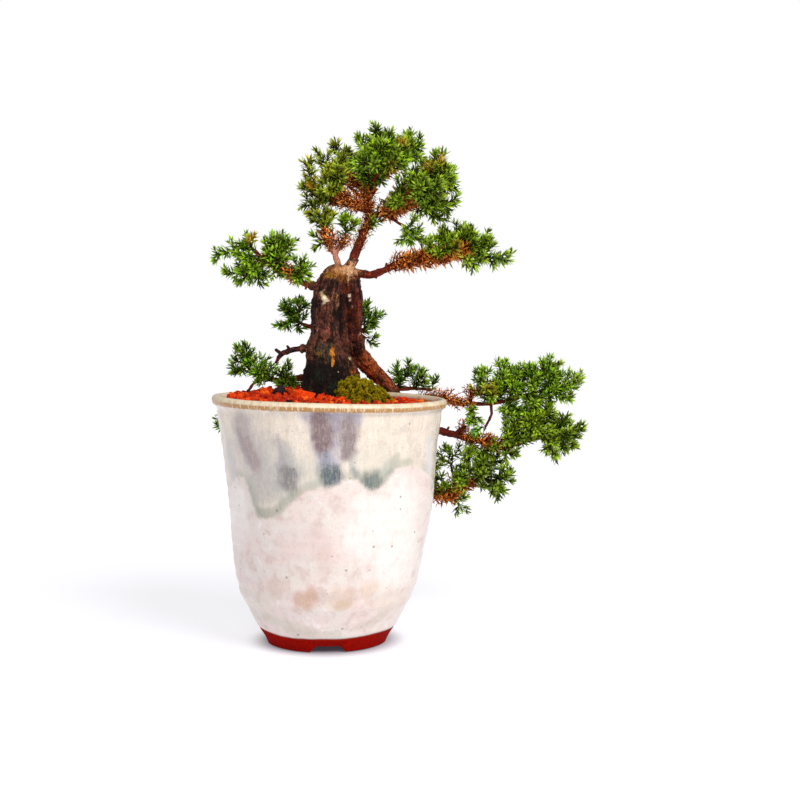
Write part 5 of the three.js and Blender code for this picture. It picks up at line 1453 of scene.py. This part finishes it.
size = maths(growth, "MULTIPLY", random_value(growth, low, high, 13), given["Needle scale"])
size = maths(growth, "MULTIPLY", size, attribute_in(growth, "vigour"))
layers = []
for label, nearest, farthest in (("Open whorl", 4.8, 1e6), ("Half open whorl", 1.6, 4.8),
                                 ("Tip whorl", -1.0, 1.6)):
    picked = maths(growth, "MULTIPLY", maths(growth, "GREATER_THAN", to_tip, nearest),
                   maths(growth, "LESS_THAN", to_tip, farthest + 0.0001))
    layers.append(add(growth, "GeometryNodeInstanceOnPoints", {
        "Points": shoots, "Selection": picked, "Instance": whole_of(growth, given[label]),
        "Rotation": turned, "Scale": size}).outputs[0])
profile = add(growth, "GeometryNodeCurvePrimitiveCircle", {"Resolution": 4, "Radius": given["Stem radius"]})
step = maths(growth, "MULTIPLY", given["Whorl spacing"], 2.5)
coarse = add(growth, "GeometryNodeResampleCurve", {"Curve": lines, "Length": step}, mode="LENGTH").outputs[0]
thicker = spread(growth, to_tip, 0.0, 30.0, 0.6, 1.6)
stems = add(growth, "GeometryNodeCurveToMesh", {
    "Curve": coarse, "Profile Curve": profile.outputs[0], "Fill Caps": True,
    "Scale": maths(growth, "MULTIPLY", attribute_in(growth, "vigour"), thicker)}).outputs[0]
stems = add(growth, "GeometryNodeStoreNamedAttribute", {"Geometry": stems, "Name": "blade", "Value": -1.0},
            data_type="FLOAT", domain="POINT").outputs[0]
# Each whorl draws a number, kept as "light", that picks its painted shade or its painted highlight.
everything = joined(growth, [with_chance(growth, joined(growth, layers), "light", 51), stems])
solid = add(growth, "GeometryNodeRealizeInstances", {"Geometry": everything}).outputs[0]
ended(growth, solid, given, result)


def bent(start, ahead, tip, step=1.6):
    """A bent line from a start, first along a direction, to a tip."""
    start, tip = np.array(start, float), np.array(tip, float)
    length = np.linalg.norm(tip - start)
    middle = start + np.array(ahead) * STEM_BEND * length
    t = np.linspace(0, 1, max(3, round(length / step)))[:, None]
    return (1 - t) ** 2 * start + 2 * t * (1 - t) * middle + t ** 2 * tip


def side_shoots(line, random, every, lengths, first, last):
    """Shoots that leave a line in turn around it, shorter towards its tip, which none of them passes."""
    along, side, across = frames_along(line)
    travelled = lengths_along(line)
    whole = travelled[-1]
    made = []
    count = max(1, round((last - first) * whole / every))
    turn = random.uniform(0, 6.28)
    for i in range(count):
        share = first + (last - first) * (i + random.uniform(0.3, 0.7)) / count
        k = min(int(np.searchsorted(travelled, share * whole)), len(line) - 1)
        turn += math.radians(SHOOT_TURN) + random.uniform(-0.3, 0.3)
        away = side[k] * math.cos(turn) + across[k] * math.sin(turn)
        lean = math.radians(SHOOT_LEAN[0] + (SHOOT_LEAN[1] - SHOOT_LEAN[0]) * share)
        ahead = along[k] * math.cos(lean) + away * math.sin(lean)
        length = (lengths[0] + (lengths[1] - lengths[0]) * share) * random.uniform(0.75, 1.15)
        gone = ahead * length * 0.92 + along[k] * length * 0.12 + np.array([0, 0, SHOOT_RISE * length])
        room = np.dot(line[-1] - line[k], along[-1]) + REACH_ROOM
        gone *= min(1, max(0.3, room / max(np.dot(gone, along[-1]), 0.01)))
        made.append(bent(line[k], ahead, line[k] + gone, 1.4))
    return made


def grown(clump, fullness, stems, inner):
    """Every shoot of a clump: the stems, their side shoots and the short twigs on those."""
    shoots = []
    for number, (name, (foot, ends)) in enumerate([*stems.items(), *((None, row) for row in inner)]):
        random = np.random.RandomState(sum(map(ord, clump)) + 7 * number)
        start, *tips = np.array(placed([foot, *ends]), float)
        ways = [tip - start for tip in tips]
        heading = sum(way / np.linalg.norm(way) for way in ways)
        heading /= np.linalg.norm(heading)
        lengths = (SHOOT_LENGTH[0] * fullness * SLENDER.get(name, 1), SHOOT_LENGTH[1] * fullness ** 0.5)
        for tip, way in zip(tips, ways):
            stem = bent(start, heading, tip - way / np.linalg.norm(way) * TIP_ROOM)
            shoots.append((stem, 1.05))
            for shoot in side_shoots(stem, random, SHOOT_EVERY, lengths, 0.14, 0.9):
                shoots.append((shoot, random.uniform(0.85, 1.05)))
                for twig in side_shoots(shoot, random, TWIG_EVERY, TWIG_LENGTH, 0.25, 0.85):
                    shoots.append((twig, random.uniform(0.75, 0.95)))
    return shoots


def shoot_mesh(name, shoots, colours, seed, fresh_share=0.35):
    """Shoots as lines of points that carry their heading, tone, vigour and colour."""
    random = np.random.RandomState(seed)
    points, edges, heading, to_tip, tone, vigour, shade = [], [], [], [], [], [], []
    old, young = [np.array(tint(code)) for code in colours]
    for line, strength in shoots:
        first = len(points)
        points += list(line)
        edges += [(first + i, first + i + 1) for i in range(len(line) - 1)]
        along = np.gradient(line, axis=0)
        heading += list(along / np.linalg.norm(along, axis=1)[:, None])
        travelled = lengths_along(line)
        left = travelled[-1] - travelled
        to_tip += list(left)
        tone += [random.rand()] * len(line)
        vigour += [strength] * len(line)
        fresh = np.clip(random.normal(fresh_share, 0.32), 0, 1)
        share = np.clip(fresh * 0.75 + 0.5 * np.exp(-left / 4.0) - 0.15, 0, 1)[:, None]
        # Shoots are darker near where they leave their stem, as painted shade.
        inner = (0.5 + 0.5 * ease(travelled, 0, 7))[:, None]
        shade += list((old * (1 - share) + young * share) * random.uniform(0.55, 1.6) * inner)
    points, shade = np.array(points), np.clip(shade, 0, 1)
    for x, z, radius, left in SHADED:
        reach = np.hypot(points[:, 0] - x, points[:, 2] - z) / radius
        shade = shade * (1 - (1 - left) * (1 - ease(reach, 0.5, 1.2)))[:, None]
    for x, z, radius, code in TINTED:
        reach = np.hypot(points[:, 0] - x, points[:, 2] - z) / radius
        shade = laid_over(shade, code, 0.85 * (1 - ease(reach, 0.55, 1.1)))
    made = piece_from(name, points, [], edges)
    keep(made.data, "heading", heading, "FLOAT_VECTOR")
    keep(made.data, "leaf_colour", shade, "FLOAT_COLOR")
    for label, values in (("to_tip", to_tip), ("tone", tone), ("vigour", vigour)):
        keep(made.data, label, values)
    return made


def needle_material(name, band_and_highlight_colour="b8d846", shade_colour="041400", tip_colour="ccd040",
                    stem_colours=("3a1408", "623614")):
    """Waxy juniper needles in the shoot's colour, with painted shade at the foot and on some whorls, painted
    highlights on others and a pale band above.
    """
    made, tree, shader = material(name)
    blade = named(tree, "blade")
    colour = named(tree, "leaf_colour", "Color")
    patch = cloud(tree, millimetres(tree), 0.9, 2.0)
    painted_light_and_shade = named(tree, "light")
    # Painted shade darkens whorls picked at random and the foot of each needle; a painted highlight in the
    # band's colour pales other whorls.
    colour = layered(tree, colour, [
        (painted_light_and_shade, 0.0, 0.6, 0.96, 0.0, shade_colour), (painted_light_and_shade, 0.66, 1.0, 0.0, 0.75, band_and_highlight_colour),
        (blade, 0.0, 0.5, 0.85, 0.0, shade_colour)])
    band = maths(tree, "MULTIPLY", named(tree, "upper"), spread(tree, blade, 0.15, 0.55, 0.05, 0.3))
    colour = mixed(tree, band, colour, band_and_highlight_colour)
    colour = mixed(tree, spread(tree, blade, 0.85, 1.0, 0.0, 0.4), colour, tip_colour)
    stem = maths(tree, "LESS_THAN", blade, -0.5)
    bark = mixed(tree, spread(tree, patch, 0.4, 0.6), *stem_colours)
    colour = mixed(tree, stem, colour, bark)
    put(shader, {"Base Color": colour, "Roughness": spread(tree, patch, 0.3, 0.7, 0.55, 0.4),
                 "Specular IOR Level": 0.1})
    return made


for seed, (name, (colours, slot, fullness, stems, inner)) in enumerate(CLUMPS.items(), 1):
    leaf = needle_material("juniper needles, " + name.replace("_foliage", "").replace("_", " "))
    shoots = shoot_mesh(name, grown(name, fullness, stems, inner), colours, seed)
    foliage = made_by(growth, shoots, name, {
        "Open whorl": needles_open, "Half open whorl": needles_half, "Tip whorl": needles_tip,
        "Whorl spacing": WHORL_SPACING * 0.001, "Stem radius": 0.00042, "Needle scale": 1.0,
        "Material": leaf, "Seed": seed})
    finished(foliage, slot, leaf, *stems)


# The dead needles: rust-brown ones that stay on the older branches for years, thick and shaggy, with dry
# stubs of twigs between them. Rows are x, y, z and how large the needles are there, where 1 is usual.
DEAD_STRETCHES = [
    [[38, -4.5, 241, 0.5], [46, -5, 244.5, 1], [57, -6.5, 246, 1.2], [70, -9, 248.4, 1.3],
     [79, -11, 250.5, 1.25], [88, -13, 252.5, 1.0]],
    [[26, 0, 279.4, 0.5], [17, -5, 284, 0.7], [9, -8.6, 289, 0.65], [4, -11, 292, 0.5]],
    [[24, 1.4, 279, 0.5], [12, 6, 283, 0.65], [3, 9, 285.5, 0.65], [-5, 11, 288, 0.5]],
    [[31, 0, 275.5, 0.9], [40, -2, 278, 1.3], [51, -6, 284, 1.4], [61, -9, 290.5, 1.2]],
    [[41, 1, 279, 0.7], [48, 10, 287, 0.9], [53, 15, 293, 0.7]],
    [[17, 5, 249, 0.35], [19.2, 5, 254, 0.45], [24.6, 4, 267, 0.55], [27.2, 1.4, 276, 0.7],
     [26.2, 1, 289, 0.9], [29, 2, 298, 0.8]],
    [[25, 2, 291, 0.7], [19, 7, 297, 0.9], [14, 10, 303, 0.7]],
    [[30, 2, 298, 0.7], [38, 3, 304, 0.9], [43, 3, 308, 0.7]],
    [[5, 2, 250, 0.5], [3, 1, 256, 0.8], [0, 0, 261, 0.8], [-3, -2, 266, 0.7]],
    [[6, 2, 252, 0.5], [10, 2, 258, 0.7], [12, 2, 262, 0.6]],
    [[-14, -1, 232, 0.5], [-20, -2, 235, 0.7], [-27, -3, 240, 0.8], [-36, -4, 244, 0.7], [-43, -5, 249, 0.7]],
    [[60, 83, 150.5, 0.4], [70, 84, 151, 0.6], [84, 82, 150.5, 0.75], [93, 80, 147.3, 0.7],
     [103, 78, 147.4, 0.6]],
    [[100.6, 77.4, 150, 0.8], [101, 77, 158, 0.8]],
    [[103, 77, 154, 0.8], [108, 77, 156, 0.6]],
    [[90, 83, 125.5, 0.5], [103, 80, 122, 0.8], [116, 77, 119, 0.9], [127, 75, 118.2, 0.8]],
    [[92, 82, 127, 0.7], [98, 80, 131, 0.7]],
    [[68, 90, 84.5, 0.6], [77, 87.6, 80.8, 1], [88, 85.2, 81, 1.1], [95, 84, 86.4, 0.9],
     [104, 82, 91.4, 0.7]],
    [[91.6, 84.3, 86, 0.7], [89.4, 83.4, 95, 0.6]],
]
DEAD_EVERY = 0.5
DEAD_LENGTH = (6.8, 6.2)
DEAD_SEED = 40
random = np.random.RandomState(23)
dead_shoots = []
for rows in DEAD_STRETCHES:
    line = smooth_line(placed(rows), 1.2)
    dead_shoots.append((line[:, :3], float(np.mean(line[:, 3]))))
    for shoot in side_shoots(line[:, :3], random, DEAD_EVERY, DEAD_LENGTH, 0.02, 0.98):
        nearest = int(np.argmin(np.linalg.norm(line[:, :3] - shoot[0], axis=1)))
        if len(shoot) > 3:
            dead_shoots.append((shoot[1:], line[nearest, 3] * random.uniform(0.8, 1.1)))
# Its colours are the band and painted highlight, the painted shade, the tips and the stems.
dead_brown = needle_material("dead juniper needles", "ffac54", "5a0400", "ffc078", ("641004", "9a3412"))
dead = shoot_mesh("dead_needles", dead_shoots, ("c42404", "ff9834"), DEAD_SEED, 0.55)
dead = made_by(growth, dead, "dead_needles", {
    "Open whorl": needles_open, "Half open whorl": needles_open, "Tip whorl": needles_half,
    "Whorl spacing": 0.0016, "Stem radius": 0.0006, "Needle scale": 0.78, "Unevenness": 0.3,
    "Wildness": 0.45, "Material": dead_brown, "Seed": DEAD_SEED})
finished(dead, "bark", dead_brown, "juniper_wood")
